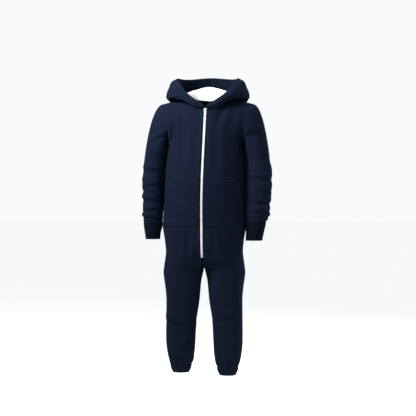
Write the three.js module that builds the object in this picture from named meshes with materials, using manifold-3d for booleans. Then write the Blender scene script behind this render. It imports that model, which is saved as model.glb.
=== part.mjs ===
// A child's hooded onesie pajama with a zip front, rib cuffs and elasticated ankles.
// It keeps the hollow shape that it has on a standing wearer. Lengths are millimetres,
// +Z is up, the front faces -Y, and "left" is the wearer's left, at +X. The origin is
// the middle of the neck, level with the highest point of the shoulder seams.
import * as THREE from 'three';
import * as BufferGeometryUtils from 'three/addons/utils/BufferGeometryUtils.js';
import Module from 'manifold-3d';

const wasm = await Module();
wasm.setup();

// Cloth and seams
const CLOTH = 2;
const LINING = 1.5;
const LAYER_GAP = 0.3;
const SEAM = LAYER_GAP / 2;

// Places that the pieces share
const WAIST_Z = -374;
const CUFF_Z = -358;
const ZIP_END_Z = -461;
const FLY_CLOSED_Z = -476;
const ARMHOLE_CENTRE = { y: 3, z: -82 };
const SWAY = 9;
const SWAY_LENGTH = 340;
const RIGHT_HEM_LIFT = 8;
const HEM_CENTRE_X = 68;

// The zip
const PANEL_EDGE_X = 4.3;
const CHAIN_HALF = 2.9;
const CHAIN_DEPTH = 2;
const TAPE_HALF = 14;
const TAPE_THICK = 1;

// Samples along and across the pieces
const ROW_STEP = 0.5;
const BODY_COLUMNS = 8;
const LEG_COLUMNS = 6;
const HOOD_COLUMNS = 12;
const HEM_COLUMNS = 28;

// The rows of a panel run up the body or down the leg. Each row is one Bezier curve from
// the middle edge to the side edge. Its columns are the middle edge's x, y, z, the side
// edge's x, y, z, the pull of the curve at the middle (x, y) and the pull at the side (x, y).
const FRONT_ROWS = [
  [0, -90, WAIST_Z, 121, 0, WAIST_Z, 66, 0, 0, -52],
  [0, -95, -305, 118, 0, -305, 66, 0, 0, -54],
  [0, -96, -240, 117, 0, -240, 66, 0, 0, -54],
  [0, -92, -180, 114, 0, -185, 64, 0, 0, -52],
  [0, -86, -128, 111, 0, -142, 60, 0, 0, -46],
  [0, -78, -88, 111, -34, -116, 55, 0, -22, -18],
  [0, -63, -38, 113, -46, -84, 48, 0, -30, -12],
  [27, -57, -34, 119, -40, -56, 30, 0, -28, -6],
  [52, -34, -16, 127, -22, -32, 24, 0, -24, -3],
  [66, 5, 0, 136, 3, -19, 23, 0, -23, 0],
];
const BACK_ROWS = [
  [0, 84, WAIST_Z, 121, 0, WAIST_Z, 66, 0, 0, 48],
  [0, 82, -305, 118, 0, -305, 66, 0, 0, 48],
  [0, 84, -240, 117, 0, -240, 66, 0, 0, 50],
  [0, 87, -180, 114, 0, -185, 64, 0, 0, 50],
  [0, 86, -128, 111, 0, -142, 60, 0, 0, 46],
  [0, 82, -88, 111, 36, -116, 55, 0, -22, 18],
  [0, 72, -50, 113, 48, -84, 48, 0, -30, 12],
  [0, 53, -8, 120, 40, -54, 44, 0, -28, 6],
  [34, 42, -4, 128, 24, -31, 30, 0, -24, 3],
  [66, 5, 0, 136, 3, -19, 23, 0, -23, 0],
];
const LEG_FRONT_ROWS = [
  [0, -90, WAIST_Z, 121, 0, WAIST_Z, 66, 0, 0, -52],
  [0, -88, -412, 115, 0, -412, 62, -1, 0, -54],
  [0, -82, -442, 112, 0, -442, 58, -5, 0, -56],
  [0, -64, -469, 114, 0, -466, 44, -22, 0, -62],
  [0, -34, -484, 117, 0, -486, 20, -50, 0, -70],
  [0, 0, -490, 119, 0, -506, 4, -76, 0, -78],
  [9, 0, -530, 116, 0, -530, 0, -76, 0, -76],
  [14.5, 0, -586, 110.5, 0, -586, 0, -70, 0, -70],
  [23, 0, -644, 111, 0, -644, 0, -66, 0, -66],
  [26, 0, -702, 111.5, 0, -702, 0, -63, 0, -63],
  [29, 0, -748, 107, 0, -748, 0, -60, 0, -60],
  [33, 0, -769, 102, 0, -769, 0, -52, 0, -52],
  [37.5, 0, -777, 98.5, 0, -777, 0, -46, 0, -46],
];
const LEG_BACK_ROWS = [
  [0, 84, WAIST_Z, 121, 0, WAIST_Z, 66, 0, 0, 48],
  [0, 94, -412, 115, 0, -412, 62, 2, 0, 56],
  [0, 97, -442, 112, 0, -442, 58, 8, 0, 62],
  [0, 84, -469, 114, 0, -466, 44, 26, 0, 68],
  [0, 50, -484, 117, 0, -486, 20, 52, 0, 74],
  [0, 0, -490, 119, 0, -506, 4, 84, 0, 84],
  [9, 0, -530, 116, 0, -530, 0, 82, 0, 82],
  [14.5, 0, -586, 110.5, 0, -586, 0, 76, 0, 76],
  [23, 0, -644, 111, 0, -644, 0, 70, 0, 70],
  [26, 0, -702, 111.5, 0, -702, 0, 68, 0, 68],
  [29, 0, -748, 107, 0, -748, 0, 64, 0, 64],
  [33, 0, -769, 102, 0, -769, 0, 54, 0, 54],
  [37.5, 0, -777, 98.5, 0, -777, 0, 46, 0, 46],
];
const ARMPIT_ROW = 4;
const NECK_ROW = 6;
const NAPE_ROW = 7;
const SHOULDER_ROW = 9;
const CROTCH_ROW = 5;

// Rings below the armholes. Columns: height, middle x, half width, half depth, middle y.
const SLEEVE_RINGS = {
  left: [
    [-178, 145.5, 35.5, 39, -2],
    [-215, 149.3, 38.6, 41, -4],
    [-267, 149, 38, 40, -8],
    [-320, 146.4, 35.3, 38, -12],
    [-346, 146.7, 34.2, 36, -14],
    [CUFF_Z, 142.5, 28.5, 31, -15],
  ],
  right: [
    [-178, -151.9, 32, 39, -2],
    [-215, -155.6, 32.4, 41, -4],
    [-267, -157.6, 30.9, 40, -8],
    [-320, -157.9, 29.1, 38, -12],
    [-346, -159.6, 29.3, 36, -14],
    [CUFF_Z, -158, 26, 31, -15],
  ],
};
const CUFF_RINGS = {
  left: [[CUFF_Z, 142.5, 28.5, 31, -15], [-368, 141.5, 28, 31, -16], [-413, 136, 24, 29, -18]],
  right: [[CUFF_Z, -158, 26, 31, -15], [-368, -158, 25.7, 31, -16], [-409, -157, 20.8, 28, -18]],
};
const HEM_RINGS = [
  [-777, HEM_CENTRE_X, 30.5, 34.5, 0],
  [-784, HEM_CENTRE_X, 30, 34.5, 0],
  [-797, HEM_CENTRE_X, 25.5, 30, 0],
  [-803, HEM_CENTRE_X, 22, 26, 0],
];

// The hood lies back on the shoulders. Each station stands on the neck seam, from the top
// of the zip round to the nape, and holds nine pairs: how far out of the seam the cloth
// is, and how high, from the seam out to the fold and back up to the brim.
const HOOD_STATIONS = [
  [[0, 0], [0.5, 1], [1, 2], [1.5, 3], [2, 4], [2.3, 5], [2.3, 6], [2, 7], [1.5, 8]],
  [[0, 0], [3, 2], [6, 4], [8.5, 7], [10, 11], [10, 15], [8.5, 19], [5, 23], [1, 25.5]],
  [[0, 0], [7, 4], [14, 5], [20, 7], [25, 12], [27, 19], [25, 26], [19, 31], [10, 34]],
  [[0, 0], [9, 7], [22, 6], [37, 0], [51, -4], [56, 5], [51, 26], [40, 47], [24, 57]],
  [[0, 0], [6, 20], [14, 26], [23, 8], [33, -34], [47, -62], [64, -40], [68, 12], [50, 64]],
  [[0, 0], [5, 26], [13, 40], [23, 14], [32, -56], [50, -112], [71, -70], [77, 4], [57, 78]],
];
const BRIM_FACING = 0.88;

// Folds that go round a sleeve: height, swell, and half length along the sleeve
const SLEEVE_ROLLS = {
  left: [[-232, 1.6, 14], [-272, 2.2, 13], [-312, 2.4, 12], [-341, 3.2, 9]],
  right: [[-222, 1.8, 14], [-262, 2.4, 12], [-300, 2.4, 12], [-337, 3.2, 10]],
};

const point = (x, y, z) => new THREE.Vector3(x, y, z);
const clamp = THREE.MathUtils.clamp;
const smooth = (t) => THREE.MathUtils.smoothstep(t, 0, 1);
const range = (count) => Array.from({ length: count }, (_, index) => index);
const sampled = (from, to, step) =>
  range(Math.round((to - from) / step) + 1).map((index) => from + index * step);

// The slope of a table's column at one row, flat wherever the column turns
function columnSlope(rows, row, column) {
  const before = row > 0 ? rows[row][column] - rows[row - 1][column] : null;
  const after = row < rows.length - 1 ? rows[row + 1][column] - rows[row][column] : null;
  if (before === null) return after;
  if (after === null) return before;
  return before * after <= 0 ? 0 : (2 * before * after) / (before + after);
}

// A table's row at any place between its rows, smooth and without overshoot
function tableRow(rows, place) {
  const row = clamp(Math.floor(place), 0, rows.length - 2);
  const t = place - row;
  return rows[row].map((value, column) => {
    const next = rows[row + 1][column];
    const rise = columnSlope(rows, row, column);
    const land = columnSlope(rows, row + 1, column);
    const bend = value - next;
    return value + t * (rise + t * (-3 * bend - 2 * rise - land + t * (2 * bend + rise + land)));
  });
}

// The hips stand a little to the wearer's right of the neck.
function swayed(p) {
  return point(p.x - SWAY * smooth(clamp(-p.z / SWAY_LENGTH, 0, 1)), p.y, p.z);
}

const settled = (grid) => grid.map((line) => line.map(swayed));

// The right leg is a little shorter to the eye, because the wearer stands on it.
function stood(p, side) {
  const lift = side < 0 ? RIGHT_HEM_LIFT * smooth(clamp((-p.z - 640) / 150, 0, 1)) : 0;
  return point(p.x, p.y, p.z + lift);
}

// A point of a panel: its row's Bezier curve at a share of the way to the side edge
function panelPoint(rows, place, share, side, middleX) {
  const [mx, my, mz, sx, sy, sz, px, py, qx, qy] = tableRow(rows, place);
  const startX = Math.max(mx, middleX);
  const curve = new THREE.CubicBezierCurve3(
    point(startX, my, mz),
    point(startX + px, my + py, mz + (sz - mz) / 3),
    point(sx + qx, sy + qy, mz + (2 * (sz - mz)) / 3),
    point(sx, sy, sz),
  );
  const p = curve.getPoint(share);
  p.x *= side;
  return p;
}

// The outward direction of a grid of points, from the points beside each one
function gridNormal(grid, row, column, ring) {
  const columns = grid[0].length;
  const pick = (r, c) => {
    const wrapped = ring ? (c + columns) % columns : clamp(c, 0, columns - 1);
    return grid[clamp(r, 0, grid.length - 1)][wrapped];
  };
  const across = pick(row, column + 1).clone().sub(pick(row, column - 1));
  const along = pick(row + 1, column).clone().sub(pick(row - 1, column));
  return across.cross(along).normalize();
}

// The grid moved along its outward directions. A sign of -1 is for a grid whose points run
// the other way round, and hold may turn a direction into the plane of a seam.
function movedGrid(grid, distance, { ring = false, sign = 1, hold = () => {} }) {
  return grid.map((line, row) => line.map((p, column) => {
    const direction = gridNormal(grid, row, column, ring).multiplyScalar(sign);
    hold(direction, row, column, p);
    direction.normalize();
    const length = typeof distance === 'function' ? distance(p, row, column) : distance;
    return p.clone().addScaledVector(direction, length);
  }));
}

// A closed solid between an outer and an inner grid of points
function wall(outer, inner, ring = false) {
  const rows = outer.length;
  const columns = outer[0].length;
  const spans = ring ? columns : columns - 1;
  const faces = [];
  const outside = (r, c) => r * columns + (c % columns);
  const inside = (r, c) => rows * columns + outside(r, c);
  const quad = (a, b, c, d) => faces.push(a, b, c, a, c, d);
  for (const c of range(spans)) {
    for (const r of range(rows - 1)) {
      quad(outside(r, c), outside(r, c + 1), outside(r + 1, c + 1), outside(r + 1, c));
      quad(inside(r, c), inside(r + 1, c), inside(r + 1, c + 1), inside(r, c + 1));
    }
    const last = rows - 1;
    quad(outside(0, c), inside(0, c), inside(0, c + 1), outside(0, c + 1));
    quad(outside(last, c + 1), inside(last, c + 1), inside(last, c), outside(last, c));
  }
  if (!ring) {
    const last = columns - 1;
    for (const r of range(rows - 1)) {
      quad(outside(r, last), inside(r, last), inside(r + 1, last), outside(r + 1, last));
      quad(outside(r + 1, 0), inside(r + 1, 0), inside(r, 0), outside(r, 0));
    }
  }
  return solid([...outer.flat(), ...inner.flat()], faces);
}

// A geometry from points and triangles, turned inside out if it faces inwards
function solid(points, faces) {
  const volume = faces.reduce((sum, _, index) => {
    if (index % 3 !== 0) return sum;
    const [a, b, c] = [0, 1, 2].map((corner) => points[faces[index + corner]]);
    return sum + a.dot(b.clone().cross(c));
  }, 0);
  const order = volume > 0 ? faces : faces.slice().reverse();
  const geometry = new THREE.BufferGeometry();
  const positions = points.flatMap((p) => [p.x, p.y, p.z]);
  geometry.setAttribute('position', new THREE.Float32BufferAttribute(positions, 3));
  geometry.setIndex(order);
  geometry.computeVertexNormals();
  return geometry;
}

// Booleans
function toManifold(geometry) {
  const bare = geometry.clone();
  bare.deleteAttribute('normal');
  bare.deleteAttribute('uv');
  const merged = BufferGeometryUtils.mergeVertices(bare, 1e-4);
  const vertProperties = Float32Array.from(merged.attributes.position.array);
  const triVerts = Uint32Array.from(merged.index.array);
  return new wasm.Manifold(new wasm.Mesh({ numProp: 3, vertProperties, triVerts }));
}

function fromManifold(body) {
  const { vertProperties, triVerts } = body.getMesh();
  const geometry = new THREE.BufferGeometry();
  geometry.setAttribute('position', new THREE.BufferAttribute(Float32Array.from(vertProperties), 3));
  geometry.setIndex(new THREE.BufferAttribute(Uint32Array.from(triVerts), 1));
  geometry.computeVertexNormals();
  return geometry;
}

const joined = (...parts) => fromManifold(parts.map(toManifold).reduce((a, b) => a.add(b)));

// A direction held in the plane of a seam: 'x', 'y' or 'z' is the way across the seam.
const across = (direction, axis) => direction.setComponent('xyz'.indexOf(axis), 0);

// At an armhole the cloth's thickness points to the middle of the armhole.
function toArmhole(direction, p) {
  direction.set(0, p.y - ARMHOLE_CENTRE.y, p.z - ARMHOLE_CENTRE.z);
}

// At the neck seam it points to the neck's axis.
function toNeck(direction, p) {
  direction.set(p.x, p.y, 0);
}

// One half of the upper body, before it sways. Its grid runs from the waist up, and from the middle out.
function bodyGrid(rows, side, front, middleX) {
  const openRow = front ? NECK_ROW : NAPE_ROW;
  return sampled(0, SHOULDER_ROW, ROW_STEP).map((place) =>
    range(BODY_COLUMNS + 1).map((column) => {
      const p = panelPoint(rows, place, column / BODY_COLUMNS, side, middleX);
      if (place === 0) p.z += SEAM;
      if (place === SHOULDER_ROW || (column === BODY_COLUMNS && place <= ARMPIT_ROW)) {
        p.y += front ? -SEAM : SEAM;
      }
      if (column === BODY_COLUMNS && place >= ARMPIT_ROW) p.x -= side * SEAM;
      if (column === 0 && place >= openRow) p.z -= SEAM;
      return p;
    }));
}

// The seams of one half of the upper body
function bodyHold(front) {
  const openRow = front ? NECK_ROW : NAPE_ROW;
  return (direction, row, column, p) => {
    const place = row * ROW_STEP;
    if (column === 0 && place >= openRow) toNeck(direction, p);
    if (column === 0 && place <= openRow) across(direction, 'x');
    if (column === BODY_COLUMNS && place >= ARMPIT_ROW) toArmhole(direction, p);
    if (column === BODY_COLUMNS && place <= ARMPIT_ROW) across(direction, 'y');
    if (place === SHOULDER_ROW) across(direction, 'y');
    if (place === 0) across(direction, 'z');
  };
}

function frontPanel(side) {
  const outer = bodyGrid(FRONT_ROWS, side, true, PANEL_EDGE_X);
  const inner = movedGrid(outer, -CLOTH, { sign: side, hold: bodyHold(true) });
  return wall(settled(outer), settled(inner));
}

// The back is one piece. Its halves meet on the middle line up to the nape, and stand
// apart above it, where the neck opens.
function backPanel() {
  const halves = [1, -1].map((side) => {
    const outer = bodyGrid(BACK_ROWS, side, false, 0);
    const inner = movedGrid(outer, -CLOTH, { sign: -side, hold: bodyHold(false) });
    return wall(settled(outer), settled(inner));
  });
  const points = [];
  const faces = [];
  for (const half of halves) {
    const { position } = half.attributes;
    const start = points.length;
    range(position.count).forEach((index) => points.push(new THREE.Vector3().fromBufferAttribute(position, index)));
    half.index.array.forEach((index) => faces.push(start + index));
  }
  return withoutInnerFaces(points, faces);
}

// Two closed solids that share a face become one: the points are merged, and each
// triangle that meets its own back is taken out.
function withoutInnerFaces(points, faces) {
  const key = (p) => [p.x, p.y, p.z].map((value) => value.toFixed(3)).join(' ').replaceAll('-0.000', '0.000');
  const first = new Map();
  const merged = faces.map((index) => {
    const name = key(points[index]);
    if (!first.has(name)) first.set(name, index);
    return first.get(name);
  });
  const triangles = range(merged.length / 3).map((index) => merged.slice(3 * index, 3 * index + 3));
  const name = (triangle) => triangle.slice().sort((a, b) => a - b).join(' ');
  const counts = new Map();
  triangles.forEach((triangle) => counts.set(name(triangle), (counts.get(name(triangle)) ?? 0) + 1));
  return solid(points, triangles.filter((triangle) => counts.get(name(triangle)) === 1).flat());
}

// One quarter of the trousers. Its grid runs from the waist down, and from the middle
// seam, or below the crotch the inside leg seam, out to the side seam.
function legGrid(rows, side, front) {
  return sampled(0, rows.length - 1, ROW_STEP).map((place, row, places) =>
    range(LEG_COLUMNS + 1).map((column) => {
      const height = tableRow(rows, place)[2];
      const besideZip = front && place < CROTCH_ROW ? PANEL_EDGE_X * smooth(clamp((height - FLY_CLOSED_Z) / 8, 0, 1)) : 0;
      const middleX = place <= CROTCH_ROW ? Math.max(besideZip, SEAM) : 0;
      const p = stood(swayed(panelPoint(rows, place, column / LEG_COLUMNS, side, middleX)), side);
      if (row === 0) p.z -= SEAM;
      if (row === places.length - 1) p.z += SEAM;
      const sideSeam = column === LEG_COLUMNS || (column === 0 && place >= CROTCH_ROW);
      if (sideSeam) p.y += front ? -SEAM : SEAM;
      return p;
    }));
}

function legPanel(side, front) {
  const rows = front ? LEG_FRONT_ROWS : LEG_BACK_ROWS;
  const outer = legGrid(rows, side, front);
  const hold = (direction, row, column) => {
    const place = row * ROW_STEP;
    if (column === 0 && place <= CROTCH_ROW) across(direction, 'x');
    if (column === LEG_COLUMNS || (column === 0 && place >= CROTCH_ROW)) across(direction, 'y');
    if (place === 0 || row === outer.length - 1) across(direction, 'z');
  };
  const sign = front ? -side : side;
  return wall(outer, movedGrid(outer, -CLOTH, { sign, hold }));
}

// A ring of a sleeve, cuff or hem. It starts at the side nearest the body and goes
// round by the front.
function ellipse([z, x, halfWidth, halfDepth, y], columns, side) {
  return range(columns).map((column) => {
    const angle = (2 * Math.PI * column) / columns;
    return point(x - side * halfWidth * Math.cos(angle), y - halfDepth * Math.sin(angle), z);
  });
}

// The armhole's seam, from the armpit up the front, over the shoulder and down the back
function armholeRing(side) {
  const seam = (rows, place) => swayed(panelPoint(rows, place, 1, side, 0));
  const up = sampled(ARMPIT_ROW, SHOULDER_ROW, ROW_STEP);
  const down = up.slice(1, -1).reverse();
  return [...up.map((place) => seam(FRONT_ROWS, place)), ...down.map((place) => seam(BACK_ROWS, place))];
}

function sleeve(side) {
  const rings = SLEEVE_RINGS[side > 0 ? 'left' : 'right'];
  const rolls = SLEEVE_ROLLS[side > 0 ? 'left' : 'right'];
  const armhole = armholeRing(side);
  const columns = armhole.length;
  const upper = ellipse(rings[0], columns, side);
  const shoulderSteps = 6;
  const shoulder = range(shoulderSteps).map((step) => armhole.map((start, column) => {
    const w = (1 - Math.cos((2 * Math.PI * column) / columns)) / 2;
    const seamPull = point(side * (3 + 19 * w), 0, -8 - 3 * w - 14 * w * (1 - w) * 4);
    const armPull = point(side * (-1 - 7 * w), 0, 10 + 68 * w ** 1.5);
    const end = upper[column];
    const curve = new THREE.CubicBezierCurve3(start, start.clone().add(seamPull), end.clone().add(armPull), end);
    return curve.getPoint(step / shoulderSteps);
  }));
  const armSteps = 12;
  const arm = range(armSteps + 1).map((step) => {
    const ring = tableRow(rings, (step / armSteps) * (rings.length - 1));
    return ellipse(ring, columns, side);
  });
  const grid = [...shoulder, ...arm];
  grid[0].forEach((p) => { p.x += side * SEAM; });
  grid[grid.length - 1].forEach((p) => { p.z += SEAM; });
  const swell = (p, row, column) => {
    const facing = 0.55 + 0.45 * Math.cos((2 * Math.PI * column) / columns - 2.2);
    const lift = rolls.reduce((sum, [z, height, reach]) => sum + height * Math.exp(-(((p.z - z) / reach) ** 2)), 0);
    return row > shoulderSteps && row < grid.length - 1 ? lift * facing - 0.8 : 0;
  };
  const hold = (direction, row, column, p) => {
    if (row === 0) toArmhole(direction, p);
    if (row === grid.length - 1) across(direction, 'z');
  };
  const options = { ring: true, sign: -side, hold };
  const outer = movedGrid(grid, swell, options);
  return wall(outer, movedGrid(outer, -CLOTH, options), true);
}

// A short tube through a few rings, with a wave round it like gathers or ribs
function band(rings, steps, columns, side, wave, shift) {
  const last = rings.length - 1;
  const grid = range(steps + 1).map((step) => ellipse(tableRow(rings, (step / steps) * last), columns, side));
  grid[0].forEach((p) => { p.z -= SEAM; });
  const options = {
    ring: true,
    sign: -side,
    hold: (direction) => across(direction, 'z'),
  };
  const gathered = (p, row, column) => -wave * (1 - Math.cos(Math.PI * column)) * Math.min(row, 1);
  const outer = movedGrid(grid, gathered, options).map((line) => line.map(shift));
  return wall(outer, movedGrid(outer, -CLOTH, options), true);
}

function cuff(side) {
  return band(CUFF_RINGS[side > 0 ? 'left' : 'right'], 5, 20, side, 0, (p) => p);
}

function hem(side) {
  const rings = HEM_RINGS.map(([z, x, ...rest]) => [z, side * x, ...rest]);
  return band(rings, 4, HEM_COLUMNS, side, 0.6, (p) => stood(swayed(p), side));
}

// A smooth value through nine profile points
function profileAt(values, share) {
  const place = share * (values.length - 1);
  const index = clamp(Math.floor(place), 0, values.length - 2);
  const t = place - index;
  const at = (i) => values[clamp(i, 0, values.length - 1)];
  const [a, b, c, d] = [at(index - 1), at(index), at(index + 1), at(index + 2)];
  return b + 0.5 * t * (c - a + t * (2 * a - 5 * b + 4 * c - d + t * (3 * (b - c) + d - a)));
}

// The neck seam at a station of the hood
function neckSeam(station, side) {
  const shoulder = SHOULDER_ROW - NECK_ROW;
  const onFront = station <= shoulder;
  const place = onFront ? NECK_ROW + station : SHOULDER_ROW - (station - shoulder);
  const middleX = onFront ? PANEL_EDGE_X : SEAM;
  return swayed(panelPoint(onFront ? FRONT_ROWS : BACK_ROWS, place, 0, side, middleX));
}

// One half of the hood. Its grid runs along the neck seam, and from the seam to the brim.
function hoodGrid(side) {
  const stations = sampled(0, HOOD_STATIONS.length - 1, ROW_STEP);
  return stations.map((station) => {
    const seam = neckSeam(station, side);
    const out = station < HOOD_STATIONS.length - 1 ? point(seam.x, seam.y, 0).normalize() : point(0, 1, 0);
    return range(HOOD_COLUMNS + 1).map((column) => {
      const share = column / HOOD_COLUMNS;
      const table = HOOD_STATIONS.map((pairs) => [0, 1].map((k) => profileAt(pairs.map((pair) => pair[k]), share)));
      const distance = profileAt(table.map((row) => row[0]), station / (HOOD_STATIONS.length - 1));
      const height = profileAt(table.map((row) => row[1]), station / (HOOD_STATIONS.length - 1));
      const p = seam.clone().addScaledVector(out, distance);
      p.z += height + (column === 0 ? SEAM : 0);
      return p;
    });
  });
}

function hoodHold(lastRow) {
  return (direction, row, column, p) => {
    if (column === 0) toNeck(direction, p);
    if (row === lastRow || row === 0) across(direction, 'x');
  };
}

// The hood's layers, counted in from its outer face
function hoodLayer(side, from, thickness, firstColumn, lastColumn) {
  const grid = hoodGrid(side);
  const options = { sign: -side, hold: hoodHold(grid.length - 1) };
  const shortened = (line, end, next) => {
    line[end].lerp(line[next], SEAM / line[end].distanceTo(line[next]));
    return line;
  };
  const cut = (layer) => layer.map((line) => {
    const kept = line.slice(firstColumn, lastColumn + 1);
    if (lastColumn < HOOD_COLUMNS) shortened(kept, kept.length - 1, kept.length - 2);
    return firstColumn > 0 ? shortened(kept, 0, 1) : kept;
  });
  const outer = movedGrid(grid, -from, options);
  const inner = movedGrid(grid, -from - thickness, options);
  return wall(cut(outer), cut(inner));
}

const HOOD_DEEP = CLOTH + LAYER_GAP;
const FACING_COLUMN = Math.round(BRIM_FACING * HOOD_COLUMNS);
const hoodShell = (side) => hoodLayer(side, 0, CLOTH, 0, HOOD_COLUMNS);
const hoodLining = (side) => hoodLayer(side, HOOD_DEEP, LINING, 0, FACING_COLUMN);
const hoodFacing = (side) => hoodLayer(side, HOOD_DEEP, LINING, FACING_COLUMN, HOOD_COLUMNS);

// Kangaroo pocket: a patch on the front, moved out from it. Its top edge is level to
// the mouth, and the mouth slants down to near the side seam.
const POCKET_TOP_ROW = 2.13;
const POCKET_MOUTH_FROM = 0.56;
const POCKET_MOUTH_ROW = 0.68;
const POCKET_SIDE = 0.84;
const POCKET_INSIDE = 0.015;

function pocket(side) {
  const rows = 6;
  const columns = 9;
  const place = (row, column) => {
    const share = POCKET_INSIDE + (POCKET_SIDE - POCKET_INSIDE) * (column / columns);
    const slant = clamp((share - POCKET_MOUTH_FROM) / (POCKET_SIDE - POCKET_MOUTH_FROM), 0, 1);
    const top = POCKET_TOP_ROW + (POCKET_MOUTH_ROW - POCKET_TOP_ROW) * slant;
    return { share, slant, height: 0.02 + (top - 0.02) * (row / rows) };
  };
  const grid = range(rows + 1).map((row) => range(columns + 1).map((column) => {
    const { share, height } = place(row, column);
    return swayed(panelPoint(FRONT_ROWS, height, share, side, PANEL_EDGE_X));
  }));
  const lift = (extra) => (p, row, column) => {
    const open = Math.sin(Math.PI * place(row, column).slant) * (row / rows) ** 2;
    return 0.55 + 2.4 * open + extra;
  };
  const options = { sign: side };
  return wall(movedGrid(grid, lift(CLOTH), options), movedGrid(grid, lift(0), options));
}

// The line of the front edge beside the zip, from its top to its foot
function zipLine(fromPlace, toZ) {
  const body = sampled(0, fromPlace, ROW_STEP).reverse().map((place) => tableRow(FRONT_ROWS, place));
  const leg = sampled(ROW_STEP, CROTCH_ROW, ROW_STEP / 2).map((place) => tableRow(LEG_FRONT_ROWS, place));
  return [...body, ...leg].map(([, y, z]) => point(0, y, z)).filter((p) => p.z > toZ);
}

// A strip along the zip, between two distances from the middle and two depths. Past the
// panel's edge it falls back as the panel does, by this much per millimetre.
const EDGE_FALL = 0.11;

function zipStrip(line, xs, depth, thickness) {
  const fall = (x) => EDGE_FALL * Math.max(0, Math.abs(x) - PANEL_EDGE_X);
  const grid = line.map((p) => xs.map((x) => swayed(point(x, p.y + fall(x), p.z))));
  const sign = Math.sign(xs[xs.length - 1] - xs[0]);
  const options = { sign: -sign, hold: (direction) => across(direction, 'x') };
  return wall(movedGrid(grid, -depth, options), movedGrid(grid, -depth - thickness, options));
}
function zipTape(side) {
  const xs = [0.2, PANEL_EDGE_X, TAPE_HALF].map((x) => side * x);
  return zipStrip(zipLine(NECK_ROW - 0.5, ZIP_END_Z - 2), xs, CLOTH + 0.6, TAPE_THICK);
}

function zipChain() {
  return zipStrip(zipLine(NECK_ROW - 0.5, ZIP_END_Z + 4), [-CHAIN_HALF, CHAIN_HALF], 0, CHAIN_DEPTH);
}

// The slider and its pull are drawn flat: x across, z up along the zip, -y outwards.
// Depths are measured outwards from the front face of the zip's chain.
const SLIDER = { halfTop: 4, halfFoot: 2.9, up: 4, down: 6.5, plate: 1.4, above: 0.3 };
const BAIL = { half: 0.8, bar: 1, inside: 4.4, height: 2, top: 3.4 };
const PULL = { half: 3, thick: 1.2, bar: 1.2, window: 5, windowHalf: 1.6, length: 18 };
const PLATE_TOP = SLIDER.above + SLIDER.plate;
const BAIL_FOOT = BAIL.top - BAIL.bar - BAIL.inside;
const PULL_AXIS = { z: BAIL_FOOT + LAYER_GAP + PULL.bar / 2, out: PLATE_TOP + LAYER_GAP + PULL.bar / 2 };

// A block between two corners, with depths counted outwards
function block(x, outFrom, outTo, zFrom, zTo) {
  const geometry = new THREE.BoxGeometry(2 * x, outTo - outFrom, zTo - zFrom);
  return geometry.translate(0, -(outFrom + outTo) / 2, (zFrom + zTo) / 2);
}

// A flat outline in x and z, extruded outwards
function plate(shape, outFrom, outTo) {
  const settings = { depth: outTo - outFrom, bevelEnabled: false, curveSegments: 6 };
  const geometry = new THREE.ExtrudeGeometry(shape, settings);
  return geometry.rotateX(Math.PI / 2).translate(0, -outFrom, 0);
}

function sliderOutline(halfTop, halfFoot) {
  const shape = new THREE.Shape();
  shape.moveTo(-halfFoot, -SLIDER.down);
  shape.lineTo(halfFoot, -SLIDER.down);
  shape.bezierCurveTo(halfFoot, -1, halfTop, -1, halfTop, SLIDER.up - 1);
  shape.quadraticCurveTo(halfTop, SLIDER.up, halfTop - 1, SLIDER.up);
  shape.lineTo(1 - halfTop, SLIDER.up);
  shape.quadraticCurveTo(-halfTop, SLIDER.up, -halfTop, SLIDER.up - 1);
  shape.bezierCurveTo(-halfTop, -1, -halfFoot, -1, -halfFoot, -SLIDER.down);
  return shape;
}

function zipSlider() {
  const back = CHAIN_DEPTH + LAYER_GAP;
  const front = plate(sliderOutline(SLIDER.halfTop, SLIDER.halfFoot), SLIDER.above, PLATE_TOP);
  const rear = plate(sliderOutline(2.8, 2.2), -back - 1, -back);
  const post = block(0.9, -back - 0.5, SLIDER.above + 0.5, 1.3, 3.2);
  const crest = PLATE_TOP + BAIL.height;
  const bar = block(BAIL.half, crest, crest + BAIL.bar, BAIL_FOOT - BAIL.bar, BAIL.top);
  const upperLeg = block(BAIL.half, SLIDER.above + 0.5, crest + 0.5, BAIL.top - BAIL.bar, BAIL.top);
  const lowerLeg = block(BAIL.half, SLIDER.above + 0.5, crest + 0.5, BAIL_FOOT - BAIL.bar, BAIL_FOOT);
  return joined(front, rear, post, bar, upperLeg, lowerLeg);
}

function zipPull() {
  const top = PULL.bar / 2;
  const shape = new THREE.Shape();
  shape.moveTo(-PULL.half, top);
  shape.lineTo(-PULL.half, -PULL.length + 2.5);
  shape.quadraticCurveTo(-PULL.half, -PULL.length, 0, -PULL.length);
  shape.quadraticCurveTo(PULL.half, -PULL.length, PULL.half, -PULL.length + 2.5);
  shape.lineTo(PULL.half, top);
  const eye = new THREE.Path();
  eye.moveTo(-PULL.windowHalf, -top);
  eye.lineTo(PULL.windowHalf, -top);
  eye.lineTo(PULL.windowHalf, -top - PULL.window);
  eye.lineTo(-PULL.windowHalf, -top - PULL.window);
  shape.holes.push(eye);
  return plate(shape, -PULL.thick / 2, PULL.thick / 2);
}

// Where the slider sits: on the front edge at the top of the zip, leaning with it
const ZIP_TOP = tableRow(FRONT_ROWS, NECK_ROW);
const BELOW_ZIP_TOP = tableRow(FRONT_ROWS, NECK_ROW - 0.5);
const ZIP_LEAN = Math.atan((BELOW_ZIP_TOP[1] - ZIP_TOP[1]) / (BELOW_ZIP_TOP[2] - ZIP_TOP[2]));
const SLIDER_CENTRE = swayed(point(0, ZIP_TOP[1], ZIP_TOP[2]));

function slid(mesh, out, up) {
  mesh.rotation.x = -ZIP_LEAN;
  const local = point(0, -out, up).applyEuler(mesh.rotation);
  mesh.position.copy(SLIDER_CENTRE).add(local);
  return mesh;
}

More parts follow.
